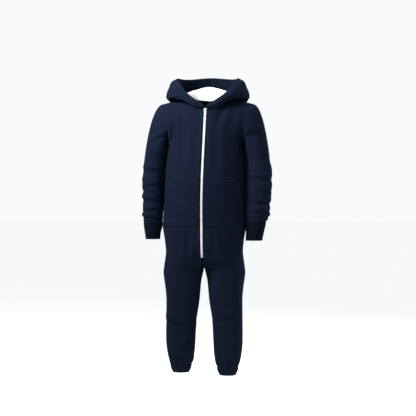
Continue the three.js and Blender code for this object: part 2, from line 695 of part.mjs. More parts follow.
// A small crimped block across the foot of the chain
function zipBottomStop() {
  const foot = zipLine(NECK_ROW, ZIP_END_Z + 4).at(-1);
  const line = [foot.clone().setZ(foot.z - LAYER_GAP), foot.clone().setZ(foot.z - 4)];
  const fall = (foot.y - zipLine(NECK_ROW, ZIP_END_Z - 3).at(-1).y) * 0.4;
  line[1].y -= fall;
  return zipStrip(line, [-CHAIN_HALF - 0.4, CHAIN_HALF + 0.4], -0.4, CHAIN_DEPTH + 0.4);
}

const onesie = new THREE.Group();

function finish(color, roughness, metalness) {
  return new THREE.MeshStandardMaterial({ color, roughness, metalness });
}
const navyFleece = finish(0x1b2236, 0.95, 0);
const navyRib = finish(0x171d2e, 0.95, 0);
const whiteJersey = finish(0xe9e9e6, 0.9, 0);
const whiteTape = finish(0xf2f2ef, 0.8, 0);
const whiteTeeth = finish(0xfafaf7, 0.45, 0);
const whiteEnamel = finish(0xe4e6e6, 0.35, 0.2);
const greyMetal = finish(0x8d9598, 0.4, 1);

function add(name, geometry, material) {
  const mesh = new THREE.Mesh(geometry, material);
  mesh.name = name;
  onesie.add(mesh);
  return mesh;
}

add('back', backPanel(), navyFleece);
for (const [name, side] of [['left', 1], ['right', -1]]) {
  add(`front_${name}`, frontPanel(side), navyFleece);
  add(`leg_front_${name}`, legPanel(side, true), navyFleece);
  add(`leg_back_${name}`, legPanel(side, false), navyFleece);
  add(`sleeve_${name}`, sleeve(side), navyFleece);
  add(`cuff_${name}`, cuff(side), navyRib);
  add(`hem_${name}`, hem(side), navyFleece);
  add(`hood_${name}`, hoodShell(side), navyFleece);
  add(`hood_lining_${name}`, hoodLining(side), whiteJersey);
  add(`hood_facing_${name}`, hoodFacing(side), navyFleece);
  add(`pocket_${name}`, pocket(side), navyFleece);
  add(`zip_tape_${name}`, zipTape(side), whiteTape);
}
add('zip_chain', zipChain(), whiteTeeth);
slid(add('zip_slider', zipSlider(), whiteEnamel), 0, 0);
slid(add('zip_pull', zipPull(), whiteEnamel), PULL_AXIS.out, PULL_AXIS.z);
add('zip_bottom_stop', zipBottomStop(), greyMetal);

export default onesie;
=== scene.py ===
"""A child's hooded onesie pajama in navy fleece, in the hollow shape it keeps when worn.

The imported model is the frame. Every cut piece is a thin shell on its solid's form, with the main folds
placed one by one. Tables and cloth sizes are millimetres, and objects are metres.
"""
import math

import bpy
import numpy as np
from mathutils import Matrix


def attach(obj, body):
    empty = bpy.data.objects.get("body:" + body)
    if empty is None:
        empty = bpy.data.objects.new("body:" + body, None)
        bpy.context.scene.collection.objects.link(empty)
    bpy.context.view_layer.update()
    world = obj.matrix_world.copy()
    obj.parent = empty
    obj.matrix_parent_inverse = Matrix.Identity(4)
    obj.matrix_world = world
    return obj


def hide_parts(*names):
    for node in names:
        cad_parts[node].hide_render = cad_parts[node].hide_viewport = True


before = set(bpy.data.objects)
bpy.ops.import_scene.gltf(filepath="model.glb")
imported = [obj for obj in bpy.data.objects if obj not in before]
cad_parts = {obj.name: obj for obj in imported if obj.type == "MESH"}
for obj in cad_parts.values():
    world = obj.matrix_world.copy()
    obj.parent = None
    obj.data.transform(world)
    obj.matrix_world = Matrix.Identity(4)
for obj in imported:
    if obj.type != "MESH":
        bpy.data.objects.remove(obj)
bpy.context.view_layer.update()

MM = 0.001

# Cloth
CLOTH = 2.0
LINING = 1.5
SEAM = 0.03
HOOD_DEEP = CLOTH + 0.3

# Places that the pieces share
WAIST_Z = -374
CUFF_Z = -358
ZIP_END_Z, FLY_CLOSED_Z = -457, -476
PANEL_EDGE_X = 3.5
ARMHOLE_CENTRE = (3, -82)
SWAY, SWAY_LENGTH = 9, 340
RIGHT_HEM_LIFT = 8
HEM_CENTRE_X = 68
ARMPIT_ROW, NECK_ROW, NAPE_ROW, SHOULDER_ROW, CROTCH_ROW = 4, 6, 7, 9, 5
FLOOR_Z = -890

# Samples in one row of a table, and across a piece
BODY_ROWS, BODY_COLUMNS = 18, 60
LEG_ROWS, LEG_COLUMNS = 15, 46
LOFT_ROWS, ARM_ROWS, ARM_COLUMNS = 48, 80, 120
CUFF_ROWS, CUFF_COLUMNS, CUFF_RIBS = 40, 156, 52
HEM_ROWS, HEM_COLUMNS = 28, 168
HOOD_ROWS, HOOD_COLUMNS = 18, 72
POCKET_ROWS, POCKET_COLUMNS = 60, 64

# Rows of a panel, up the body or down the leg. Columns: the middle edge's x, y, z, the side
# edge's x, y, z, the pull of the curve at the middle (x, y) and at the side (x, y).
FRONT_ROWS = np.array([
    [0, -90, WAIST_Z, 121, 0, WAIST_Z, 66, 0, 0, -52],
    [0, -95, -305, 118, 0, -305, 66, 0, 0, -54],
    [0, -96, -240, 117, 0, -240, 66, 0, 0, -54],
    [0, -92, -180, 114, 0, -185, 64, 0, 0, -52],
    [0, -86, -128, 111, 0, -142, 60, 0, 0, -46],
    [0, -78, -88, 111, -34, -116, 55, 0, -22, -18],
    [0, -63, -38, 113, -46, -84, 48, 0, -30, -12],
    [27, -57, -34, 119, -40, -56, 30, 0, -28, -6],
    [52, -34, -16, 127, -22, -32, 24, 0, -24, -3],
    [66, 5, 0, 136, 3, -19, 23, 0, -23, 0],
], float)
BACK_ROWS = np.array([
    [0, 84, WAIST_Z, 121, 0, WAIST_Z, 66, 0, 0, 48],
    [0, 82, -305, 118, 0, -305, 66, 0, 0, 48],
    [0, 84, -240, 117, 0, -240, 66, 0, 0, 50],
    [0, 87, -180, 114, 0, -185, 64, 0, 0, 50],
    [0, 86, -128, 111, 0, -142, 60, 0, 0, 46],
    [0, 82, -88, 111, 36, -116, 55, 0, -22, 18],
    [0, 72, -50, 113, 48, -84, 48, 0, -30, 12],
    [0, 53, -8, 120, 40, -54, 44, 0, -28, 6],
    [34, 42, -4, 128, 24, -31, 30, 0, -24, 3],
    [66, 5, 0, 136, 3, -19, 23, 0, -23, 0],
], float)
# The legs' rows hold the side edge, the middle edge and the pulls of the front, then the
# middle edge's y and the pulls of the back, which shares every other place.
LEG_ROWS_BOTH = np.array([
    [0, -90, WAIST_Z, 121, WAIST_Z, 66, 0, 0, -52, 84, 66, 0, 48],
    [0, -88, -412, 115, -412, 62, -1, 0, -54, 94, 62, 2, 56],
    [0, -82, -442, 112, -442, 58, -5, 0, -56, 97, 58, 8, 62],
    [0, -64, -469, 114, -466, 44, -22, 0, -62, 84, 44, 26, 68],
    [0, -34, -484, 117, -486, 20, -50, 0, -70, 50, 20, 52, 74],
    [0, 0, -490, 119, -506, 4, -76, 0, -78, 0, 4, 84, 84],
    [9, 0, -530, 116, -530, 0, -76, 0, -76, 0, 0, 82, 82],
    [14.5, 0, -586, 110.5, -586, 0, -70, 0, -70, 0, 0, 76, 76],
    [23, 0, -644, 111, -644, 0, -66, 0, -66, 0, 0, 70, 70],
    [26, 0, -702, 111.5, -702, 0, -63, 0, -63, 0, 0, 68, 68],
    [29, 0, -748, 107, -748, 0, -60, 0, -60, 0, 0, 64, 64],
    [33, 0, -769, 102, -769, 0, -52, 0, -52, 0, 0, 54, 54],
    [37.5, 0, -777, 98.5, -777, 0, -46, 0, -46, 0, 0, 46, 46],
], float)

# Rings. Columns: height, middle x, half width, half depth, middle y.
SLEEVE_RINGS = {
    1: np.array([
        [-178, 145.5, 35.5, 39, -2], [-215, 149.3, 38.6, 41, -4], [-267, 149, 38, 40, -8],
        [-320, 146.4, 35.3, 38, -12], [-346, 146.7, 34.2, 36, -14], [CUFF_Z, 142.5, 28.5, 31, -15],
    ], float),
    -1: np.array([
        [-178, -151.9, 32, 39, -2], [-215, -155.6, 32.4, 41, -4], [-267, -157.6, 30.9, 40, -8],
        [-320, -157.9, 29.1, 38, -12], [-346, -159.6, 29.3, 36, -14], [CUFF_Z, -158, 26, 31, -15],
    ], float),
}
CUFF_RINGS = {
    1: np.array([
        [CUFF_Z, 142.5, 28.5, 31, -15], [-368, 141.5, 28, 31, -16], [-413, 136, 24, 29, -18],
    ], float),
    -1: np.array([
        [CUFF_Z, -158, 26, 31, -15], [-368, -158, 25.7, 31, -16], [-409, -157, 20.8, 28, -18],
    ], float),
}
HEM_RINGS = np.array([
    [-777, HEM_CENTRE_X, 30.5, 34.5, 0], [-784, HEM_CENTRE_X, 30, 34.5, 0],
    [-797, HEM_CENTRE_X, 25.5, 30, 0], [-803, HEM_CENTRE_X, 22, 26, 0],
], float)

# Stations of the hood round the neck seam: nine pairs of distance out and height up
HOOD_STATIONS = np.array([
    [[0, 0], [0.5, 1], [1, 2], [1.5, 3], [2, 4], [2.3, 5], [2.3, 6], [2, 7], [1.5, 8]],
    [[0, 0], [3, 2], [6, 4], [8.5, 7], [10, 11], [10, 15], [8.5, 19], [5, 23], [1, 25.5]],
    [[0, 0], [7, 4], [14, 5], [20, 7], [25, 12], [27, 19], [25, 26], [19, 31], [10, 34]],
    [[0, 0], [9, 7], [22, 6], [37, 0], [51, -4], [56, 5], [51, 26], [40, 47], [24, 57]],
    [[0, 0], [6, 20], [14, 26], [23, 8], [33, -34], [47, -62], [64, -40], [68, 12], [50, 64]],
    [[0, 0], [5, 26], [13, 40], [23, 14], [32, -56], [50, -112], [71, -70], [77, 3], [57, 74]],
], float)
LAST_STATION = len(HOOD_STATIONS) - 1
FACING_SHARE = 11 / 12

# Pocket: the rows of its foot and top and of the mouth's low end, and the shares of the
# panel's width where it starts, where the mouth starts and where it ends
POCKET_FOOT_ROW, POCKET_TOP_ROW, POCKET_MOUTH_ROW = 0.02, 2.13, 0.68
POCKET_INSIDE, POCKET_MOUTH_FROM, POCKET_SIDE = 0.015, 0.53, 0.81

# Folds: depth, half width, and a start, a bend and an end in x and z, seen from the front. A negative
# depth is a ridge.
FRONT_FOLDS = [
    (3.2, 8, (-134, -40), (-131, -78), (-117, -128)),
    (2.0, 6, (-122, -66), (-121, -100), (-112, -140)),
    (-1.6, 9, (-112, -34), (-108, -80), (-104, -150)),
    (2.4, 9, (50, -28), (46, -48), (34, -84)),
    (3.4, 9, (118, -52), (104, -96), (97, -150)),
    (2.8, 8, (104, -120), (98, -176), (96, -240)),
    (-1.8, 10, (94, -70), (88, -130), (84, -200)),
    (1.6, 12, (-70, -60), (-62, -120), (-66, -196)),
    (1.3, 12, (26, -90), (34, -150), (30, -216)),
    (1.5, 8, (-120, -230), (-104, -244), (-84, -262)),
    (1.2, 9, (-112, -196), (-96, -214), (-70, -222)),
    (1.2, 9, (-98, -276), (-72, -292), (-44, -300)),
    (1.1, 10, (34, -268), (60, -286), (88, -280)),
    (1.4, 8, (-108, -340), (-84, -350), (-52, -348)),
    (1.2, 8, (40, -336), (66, -348), (94, -340)),
    (1.4, 7, (98, -292), (88, -324), (92, -356)),
]
BACK_FOLDS = [
    (3.0, 9, (-118, -66), (-104, -112), (-96, -160)),
    (3.2, 9, (112, -60), (100, -110), (88, -168)),
    (2.0, 12, (-60, -128), (-14, -150), (40, -134)),
    (2.2, 10, (-78, -196), (-20, -214), (52, -196)),
    (1.8, 9, (-90, -268), (-40, -284), (10, -276)),
    (2.2, 10, (-16, -304), (34, -318), (84, -300)),
    (2.4, 9, (-96, -346), (-50, -336), (-8, -350)),
    (-1.5, 12, (-40, -170), (0, -178), (46, -166)),
    (1.6, 10, (70, -210), (82, -262), (70, -330)),
]
LEG_FRONT_FOLDS = [
    (2.6, 7, (-52, -378), (-44, -420), (-52, -468)),
    (1.6, 7, (-74, -380), (-70, -404), (-76, -436)),
    (1.3, 7, (25, -376), (29, -404), (22, -448)),
    (1.0, 8, (47, -376), (50, -404), (40, -436)),
    (1.4, 8, (70, -376), (76, -410), (70, -470)),
    (1.1, 10, (-118, -448), (-84, -472), (-44, -476)),
    (1.0, 10, (-110, -500), (-76, -520), (-40, -512)),
    (1.0, 10, (18, -478), (48, -492), (88, -474)),
    (2.0, 10, (-88, -560), (-72, -600), (-74, -640)),
    (3.4, 6, (-116, -648), (-92, -650), (-62, -657)),
    (-1.8, 9, (-112, -628), (-94, -632), (-76, -624)),
    (2.2, 9, (-58, -668), (-76, -690), (-92, -716)),
    (1.8, 8, (-36, -700), (-58, -726), (-86, -740)),
    (2.6, 10, (34, -636), (62, -650), (96, -640)),
    (1.8, 9, (26, -668), (54, -684), (86, -672)),
    (1.8, 9, (40, -716), (62, -732), (90, -712)),
    (1.5, 12, (62, -520), (70, -566), (66, -618)),
    (2.0, 7, (-100, -752), (-80, -760), (-56, -752)),
    (2.0, 7, (34, -756), (56, -764), (84, -754)),
]
LEG_BACK_FOLDS = [
    (2.6, 9, (-24, -396), (-56, -420), (-98, -420)),
    (2.4, 9, (12, -400), (44, -424), (88, -414)),
    (3.6, 8, (-98, -494), (-60, -504), (-26, -496)),
    (3.4, 8, (12, -498), (46, -508), (84, -496)),
    (2.2, 9, (-94, -536), (-64, -548), (-34, -538)),
    (2.2, 9, (18, -540), (48, -552), (80, -540)),
    (3.4, 8, (-98, -640), (-66, -650), (-40, -642)),
    (3.4, 8, (28, -640), (56, -652), (88, -640)),
    (2.4, 9, (-92, -676), (-66, -690), (-40, -680)),
    (2.4, 9, (30, -684), (58, -694), (86, -680)),
    (2.2, 8, (-86, -740), (-66, -750), (-44, -742)),
    (2.2, 8, (34, -744), (58, -754), (82, -744)),
]
# Folds round a sleeve: depth, half width, height, how far round they start, how much of
# the way round they go, and how much they climb on the way
SLEEVE_FOLDS = {
    -1: [
        (3.4, 5.5, -214, 0.3, 0.3, 3), (2.6, 4.5, -258, 0.28, 0.3, -5), (2.2, 4, -270, 0.42, 0.22, 4),
        (3.0, 5, -300, 0.3, 0.34, 4), (2.6, 4.5, -327, 0.26, 0.3, -3), (3.2, 4.5, -349, 0.36, 0.5, 1),
        (2.2, 7, -120, 0.22, 0.2, -14), (1.6, 7, -172, 0.18, 0.22, 8), (3.0, 6, -232, 0.8, 0.34, 5),
        (2.8, 6, -262, 0.86, 0.3, -6), (3.0, 6, -292, 0.78, 0.34, 4), (2.6, 5, -326, 0.84, 0.34, -3),
        (2.6, 8, -150, 0.76, 0.24, 14), (-1.6, 6, -236, 0.36, 0.3, 2), (-1.6, 5, -284, 0.32, 0.3, -3),
    ],
    1: [
        (3.0, 5.5, -236, 0.32, 0.34, -2), (2.8, 4.5, -273, 0.34, 0.28, 5), (2.0, 4, -288, 0.24, 0.2, -3),
        (3.0, 5, -306, 0.36, 0.34, -5), (2.6, 4.5, -333, 0.3, 0.3, 3), (3.2, 4.5, -348, 0.4, 0.5, -1),
        (2.4, 8, -112, 0.26, 0.22, 12), (1.6, 8, -180, 0.34, 0.24, -8), (3.0, 6, -226, 0.8, 0.32, -5),
        (2.8, 6, -256, 0.74, 0.3, 6), (3.0, 6, -290, 0.82, 0.34, -4), (2.6, 5, -322, 0.78, 0.34, 3),
        (2.6, 8, -146, 0.78, 0.24, -12), (-1.6, 6, -254, 0.34, 0.3, 3), (-1.6, 5, -318, 0.3, 0.3, -2),
    ],
}


def smooth(t):
    t = np.clip(t, 0, 1)
    return t * t * (3 - 2 * t)


def bell(distance, width):
    return np.exp(-(distance / width) ** 2)


def unit(vectors):
    return vectors / np.maximum(np.linalg.norm(vectors, axis=-1, keepdims=True), 1e-9)


def bezier(t, start, first, second, end):
    """A cubic curve from start to end, drawn towards two points between them."""
    left = 1 - t
    return left ** 3 * start + 3 * left ** 2 * t * first + 3 * left * t * t * second + t ** 3 * end


def table_rows(rows, places):
    """Rows of a table at any places between its own: cubics whose slopes are the harmonic mean
    of the two neighbouring differences, and flat where a column turns."""
    step = np.diff(rows, axis=0)
    before, after = step[:-1], step[1:]
    both = before + after
    inner = np.where(before * after > 0, 2 * before * after / np.where(both == 0, 1, both), 0)
    slope = np.vstack([step[:1], inner, step[-1:]])
    index = np.clip(np.floor(places).astype(int), 0, len(rows) - 2)
    t = (places - index)[:, None]
    a, b, rise, land = rows[index], rows[index + 1], slope[index], slope[index + 1]
    return a + t * (rise + t * (-3 * (a - b) - 2 * rise - land + t * (2 * (a - b) + rise + land)))


def panel_points(rows, places, shares, side, middle_x):
    """Bezier curves from the middle edge to the side edge: the ends, each end's pull, and
    heights that fall evenly. places and shares give the rows and the way across."""
    row = table_rows(rows, places)[:, None, :]
    start = row[..., 0:3].copy()
    start[..., 0] = np.maximum(start[..., 0], np.reshape(middle_x, (-1, 1)))
    end = row[..., 3:6]
    drop = (end[..., 2] - start[..., 2])[..., None] / 3
    first = start + np.concatenate([row[..., 6:8], drop], -1)
    second = end + np.concatenate([row[..., 8:10], -drop], -1)
    points = bezier(np.atleast_2d(shares)[..., None], start, first, second, end)
    points[..., 0] *= side
    return points


def swayed(points):
    moved = points.copy()
    moved[..., 0] -= SWAY * smooth(-points[..., 2] / SWAY_LENGTH)
    return moved


def stood(points, side):
    moved = points.copy()
    if side < 0:
        moved[..., 2] += RIGHT_HEM_LIFT * smooth((-points[..., 2] - 640) / 150)
    return moved


def normals(grid, sign, ring=False):
    """Unit directions across a grid: the cross product of its differences along both ways."""
    if ring:
        across = np.roll(grid, -1, 1) - np.roll(grid, 1, 1)
    else:
        across = np.gradient(grid, axis=1)
    return unit(np.cross(across, np.gradient(grid, axis=0)) * sign)


def held(directions, rows, columns, axis):
    """Directions turned into the plane of a seam, at those rows and columns of the grid."""
    directions[rows, columns, axis] = 0
    return unit(directions)


# Folds are drawn this much deeper than their tables say, which is what the photograph's need.
# A fold's ridge stands this many of its half widths from the middle of its trough.
FOLD_GAIN, SLEEVE_GAIN, RIDGE_AT = 1.9, 1.45, 1.9
PATH_SAMPLES = 14


def crease(points, fold):
    """How far in one fold pushes each point: its depth times a bell curve of the distance to a
    bent path, seen from the front, with a low ridge along one side, fading at both ends."""
    depth, width, start, bend, end = fold
    t = np.linspace(0, 1, PATH_SAMPLES)[:, None]
    path = (1 - t) ** 2 * np.array(start) + 2 * t * (1 - t) * np.array(bend) + t * t * np.array(end)
    flat = points[..., [0, 2]]
    away = flat[..., None, :] - path
    distance = np.linalg.norm(away, axis=-1)
    nearest = distance.argmin(-1)
    along = unit(np.gradient(path, axis=0))
    offset = np.take_along_axis(away, nearest[..., None, None], -2)[..., 0, :]
    direction = along[nearest]
    signed = direction[..., 0] * offset[..., 1] - direction[..., 1] * offset[..., 0]
    beyond = (direction * offset).sum(-1)
    fade = np.sin(np.pi * (0.06 + 0.88 * nearest / (PATH_SAMPLES - 1))) ** 0.7
    ridge = 0.5 * bell(np.abs(signed) - RIDGE_AT * width, 0.9 * width) * (signed > 0)
    return FOLD_GAIN * depth * fade * bell(beyond, 2 * width) * (bell(signed, width) - ridge)


def unevenness(points, size):
    """Slow swells of uneven cloth: three crossed waves whose lengths share no multiple."""
    x, y, z = np.moveaxis(points, -1, 0)
    waves = (np.sin(x / 17 + z / 41 + y / 29) + np.sin(x / 31 - z / 23 + 1.7)
             + np.sin(y / 19 + z / 53 + 0.6))
    return size * waves / 3


def relief(points, folds, size=0.5):
    return -sum(crease(points, fold) for fold in folds) + unevenness(points, size)


def edge_fade(count, reach, both=True):
    """From 0 at the first sample of a row to 1 after reach samples, and back at its end."""
    index = np.arange(count)
    fade = smooth(index / reach)
    return fade * smooth((count - 1 - index) / reach) if both else fade


def build(name, vertices, faces, uvs, material, node=None, body="root"):
    """A mesh object in metres, from vertices in millimetres, faces and one uv per vertex."""
    mesh = bpy.data.meshes.new(name)
    mesh.from_pydata((vertices * MM).tolist(), [], faces.tolist())
    loops = np.empty(len(mesh.loops), dtype=np.int32)
    mesh.loops.foreach_get("vertex_index", loops)
    layer = mesh.uv_layers.new(name="cloth")
    layer.data.foreach_set("uv", (uvs[loops] * MM).astype(np.float32).ravel())
    mesh.polygons.foreach_set("use_smooth", np.ones(len(mesh.polygons), dtype=bool))
    mesh.materials.append(material)
    piece = bpy.data.objects.new(name, mesh)
    bpy.context.scene.collection.objects.link(piece)
    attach(piece, body)
    if node:
        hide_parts(node)
    return piece


def grid_faces(rows, columns, ring):
    """Quads of a closed wall: its outer grid, its inner grid turned over, and its rims."""
    spans = columns if ring else columns - 1
    r, c = np.meshgrid(np.arange(rows - 1), np.arange(spans), indexing="ij")
    place = lambda i, j: i * columns + j % columns
    outer = np.stack([place(r, c), place(r, c + 1), place(r + 1, c + 1), place(r + 1, c)], -1)
    outer = outer.reshape(-1, 4)
    deep = rows * columns
    faces = [outer, outer[:, ::-1] + deep]
    i, j = np.arange(rows - 1), np.arange(spans)
    edges = [(place(row, j), place(row, j + 1), row > 0) for row in (0, rows - 1)]
    if not ring:
        edges += [(place(i, column), place(i + 1, column), column == 0)
                  for column in (columns - 1, 0)]
    for here, there, flip in edges:
        rim = np.stack([here, here + deep, there + deep, there], -1)
        faces.append(rim[:, ::-1] if flip else rim)
    return np.concatenate(faces)


def cloth_uv(grid):
    """Distances along and across the cloth, as a weaver would measure them, in millimetres."""
    across = np.linalg.norm(np.diff(grid, axis=1), axis=-1).mean(0)
    along = np.linalg.norm(np.diff(grid, axis=0), axis=-1).mean(1)
    u = np.concatenate([[0], np.cumsum(across)])
    v = np.concatenate([[0], np.cumsum(along)])
    return np.stack(np.meshgrid(u, v), -1).reshape(-1, 2)


def shell(grid, out, lift):
    """The cloth's outer face, which is the grid moved outwards by lift, and its inner face."""
    return grid + out * lift[..., None], grid + out * (lift[..., None] - CLOTH)


def spans(grid):
    """The longest ways across and along a grid, creases with them."""
    across = np.linalg.norm(np.diff(grid, axis=1), axis=-1).sum(1).max()
    along = np.linalg.norm(np.diff(grid, axis=0), axis=-1).sum(0).max()
    return across, along


def wall(node, outer, inner, material, sign, ring=False, made="cloth"):
    """A closed cloth wall between two grids, in place of a node."""
    faces = grid_faces(*outer.shape[:2], ring)
    if sign < 0:
        faces = faces[:, ::-1]
    uv = cloth_uv(outer)
    vertices = np.concatenate([outer.reshape(-1, 3), inner.reshape(-1, 3)])
    piece = build(f"{node}_{made}", vertices, faces, np.concatenate([uv, uv]), material, node)


# Materials
def linear(hex_colour):
    """A colour such as #1b2236 in the linear values that a shader takes."""
    parts = [int(hex_colour[i:i + 2], 16) / 255 for i in (1, 3, 5)]
    return (*[p / 12.92 if p <= 0.04045 else ((p + 0.055) / 1.055) ** 2.4 for p in parts], 1)


def add_node(tree, kind, settings=None, links=None):
    """A node with its settings and input values, and links into its inputs from other nodes."""
    node = tree.nodes.new(kind)
    for key, value in (settings or {}).items():
        if key in node.inputs:
            node.inputs[key].default_value = value
        else:
            setattr(node, key, value)
    for key, socket in (links or {}).items():
        tree.links.new(socket, node.inputs[key])
    return node


def two_tones(tree, coordinates, scale, dark, light):
    """Colour that drifts between two tones with a noise of that many cells a metre."""
    noise = add_node(tree, "ShaderNodeTexNoise", {"Scale": scale, "Detail": 4.0, "Roughness": 0.6},
                     {"Vector": coordinates})
    ramp = add_node(tree, "ShaderNodeValToRGB", links={"Fac": noise.outputs["Fac"]})
    ramp.color_ramp.elements[0].position = 0.35
    ramp.color_ramp.elements[1].position = 0.65
    ramp.color_ramp.elements[0].color = linear(dark)
    ramp.color_ramp.elements[1].color = linear(light)
    return ramp.outputs["Color"]


def wales(tree, uv, pitch, axis):
    """Rounded ribs of that pitch in metres, along one axis of the cloth: |sin| of the distance."""
    parts = add_node(tree, "ShaderNodeSeparateXYZ", links={"Vector": uv})
    scaled = add_node(tree, "ShaderNodeMath", {"operation": "MULTIPLY"}, {0: parts.outputs[axis]})
    scaled.inputs[1].default_value = math.pi / pitch
    wave = add_node(tree, "ShaderNodeMath", {"operation": "SINE"}, {0: scaled.outputs[0]})
    rib = add_node(tree, "ShaderNodeMath", {"operation": "ABSOLUTE"}, {0: wave.outputs[0]})
    return rib.outputs[0]


def bumped(tree, shader, layers, normal=None):
    """Stacked bumps, each a height socket with its depth in metres, strongest first."""
    for height, depth in layers:
        links = {"Height": height}
        if normal is not None:
            links["Normal"] = normal
        bump = add_node(tree, "ShaderNodeBump", {"Strength": 1.0, "Distance": depth}, links)
        normal = bump.outputs["Normal"]
    tree.links.new(normal, shader.inputs["Normal"])


def fine_noise(tree, coordinates, scale, detail=2.0):
    settings = {"Scale": scale, "Detail": detail}
    return add_node(tree, "ShaderNodeTexNoise", settings, {"Vector": coordinates}).outputs["Fac"]


def new_material(name, slot, scale, dark, light, settings):
    """A material in two drifting tones, with the shader's settings. Returns it with the parts
    that the rest is built on: its tree, its shader, the coordinates and the colour."""
    material = bpy.data.materials.new(name)
    material["slot"] = slot
    material.use_nodes = True
    tree = material.node_tree
    shader = tree.nodes["Principled BSDF"]
    for key, value in settings.items():
        shader.inputs[key].default_value = value
    place = add_node(tree, "ShaderNodeTexCoord").outputs
    colour = two_tones(tree, place["Object"], scale, dark, light)
    tree.links.new(colour, shader.inputs["Base Color"])
    return material, tree, shader, place, colour


# Brushed navy cotton: no gloss, and a trace of pale blue fuzz at grazing angles
NAVY_NAP = {"Specular IOR Level": 0.0, "Sheen Weight": 0.02, "Sheen Tint": linear("#8f9cc8")}


def fleece_material():
    """Navy sweatshirt fleece: knit wales 1.1 mm apart on the face, under a short brushed nap."""
    material, tree, shader, place, _ = new_material(
        "navy_fleece", "navy_fleece", 520.0, "#0a0f1a", "#0e1422",
        {"Roughness": 0.95, "Sheen Roughness": 0.5, **NAVY_NAP})
    nap = fine_noise(tree, place["Object"], 900.0)
    pills = fine_noise(tree, place["Object"], 300.0, 3.0)
    knit = wales(tree, place["UV"], 0.0011, 0)
    bumped(tree, shader, [(pills, 0.0004), (knit, 0.00012), (nap, 0.0003)])
    return material


def rib_material():
    """Navy cuff ribbing: ribs 2.6 mm apart down the cuff, and fine courses across them."""
    material, tree, shader, place, colour = new_material(
        "navy_rib", "navy_rib", 400.0, "#080d18", "#0d121f", {"Roughness": 0.9, **NAVY_NAP})
    ribs = wales(tree, place["UV"], 0.0026, 0)
    # Painted shade: the colour is darkened to 0.55 in the valleys between the ribs, where shade falls,
    # and stays full on the rib tops.
    painted_rib_shade = add_node(tree, "ShaderNodeMapRange", {"To Min": 0.55, "To Max": 1.0}, {"Value": ribs})
    colour_with_painted_shade = add_node(tree, "ShaderNodeVectorMath", {"operation": "SCALE"},
                     {0: colour, "Scale": painted_rib_shade.outputs["Result"]})
    tree.links.new(colour_with_painted_shade.outputs[0], shader.inputs["Base Color"])
    courses = wales(tree, place["UV"], 0.0009, 1)
    bumped(tree, shader, [(ribs, 0.0009), (courses, 0.0001)])
    return material


def jersey_material():
    """White cotton jersey lining: fine wales 0.9 mm apart and a faint drift of tone. A little
    darker than real white, so that its form shows in this light."""
    material, tree, shader, place, _ = new_material(
        "white_jersey", "white_jersey", 30.0, "#c6c6c3", "#d6d5d2",
        {"Roughness": 0.88, "Sheen Weight": 0.15})
    soft = fine_noise(tree, place["Object"], 260.0)
    bumped(tree, shader, [(soft, 0.0005), (wales(tree, place["UV"], 0.0009, 0), 0.00012)])
    return material


def tape_material():
    """White woven zip tape with fine cross threads 0.6 mm apart, darker than real for its form."""
    material, tree, shader, place, _ = new_material(
        "zip_tape_weave", "white_tape", 120.0, "#b4b4b1", "#c0c0bd", {"Roughness": 0.8})
    grain = fine_noise(tree, place["Object"], 1600.0)
    bumped(tree, shader, [(wales(tree, place["UV"], 0.0006, 1), 0.0001), (grain, 0.0001)])
    return material


def hard_material(name, slot, dark, light, roughness, metallic, coat=0.0):
    """A moulded, enamelled or pressed part: two near tones, and handling marks in its gloss."""
    material, tree, shader, place, _ = new_material(
        name, slot, 400.0, dark, light, {"Metallic": metallic, "Coat Weight": coat})
    marks = fine_noise(tree, place["Object"], 700.0, 5.0)
    gloss = add_node(tree, "ShaderNodeMapRange",
                     {"To Min": roughness * 0.75, "To Max": roughness * 1.3}, {"Value": marks})
    tree.links.new(gloss.outputs["Result"], shader.inputs["Roughness"])
    rounded = add_node(tree, "ShaderNodeBevel", {"Radius": 0.00025})
    bumped(tree, shader, [(marks, 0.00002)], rounded.outputs["Normal"])
    return material


def thread_material():
    """Navy polyester sewing thread, a little lighter and glossier than the fleece."""
    material, tree, shader, place, _ = new_material(
        "navy_thread", "navy_fleece", 500.0, "#1a2336", "#232d46",
        {"Roughness": 0.75, "Specular IOR Level": 0.12})
    bumped(tree, shader, [(fine_noise(tree, place["Object"], 3000.0), 0.00004)])
    return material


FLEECE = fleece_material()
RIB = rib_material()
JERSEY = jersey_material()
TAPE = tape_material()
# White acetal teeth, grey-white enamel on the slider and its pull, and a bare steel stop
TEETH = hard_material("zip_teeth_plastic", "white_teeth", "#c4c4c0", "#cecec9", 0.38, 0.0)
ENAMEL = hard_material("slider_enamel", "white_enamel", "#9fa4a6", "#adb2b4", 0.3, 0.0, 0.4)
STEEL = hard_material("stop_metal", "grey_metal", "#7d8588", "#9ba3a6", 0.35, 1.0)
THREAD = thread_material()


# Upper body
def body_grid(rows, side, front):
    """One half of the upper body before it sways, and its outward directions."""
    places = np.linspace(0, SHOULDER_ROW, SHOULDER_ROW * BODY_ROWS + 1)
    shares = np.linspace(0, 1, BODY_COLUMNS + 1)
    grid = panel_points(rows, places, shares, side, PANEL_EDGE_X if front else 0.0)
    grid[0, :, 2] += SEAM
    grid[-1, :, 1] += -SEAM if front else SEAM
    under = places <= ARMPIT_ROW
    grid[under, -1, 1] += -SEAM if front else SEAM
    grid[~under, -1, 0] -= side * SEAM
    open_row = NECK_ROW if front else NAPE_ROW
    grid[places >= open_row, 0, 2] -= SEAM
    out = normals(grid, side if front else -side)
    out[places >= open_row, 0] = grid[places >= open_row, 0] * (1, 1, 0)
    out = held(out, places <= open_row, 0, 0)
    centre = grid[~under, -1] - (0, *ARMHOLE_CENTRE)
    out[~under, -1] = centre * (0, 1, 1)
    out = held(out, under, -1, 1)
    out = held(out, [-1], slice(None), 1)
    return places, grid, held(out, [0], slice(None), 2)


def body_fade(places, front):
    """Folds fade at every seam of the half, within about a centimetre."""
    across = edge_fade(BODY_COLUMNS + 1, 5) * edge_fade(BODY_COLUMNS + 1, 11)[::-1]
    along = edge_fade(len(places), 6)
    return along[:, None] * across[None, :]


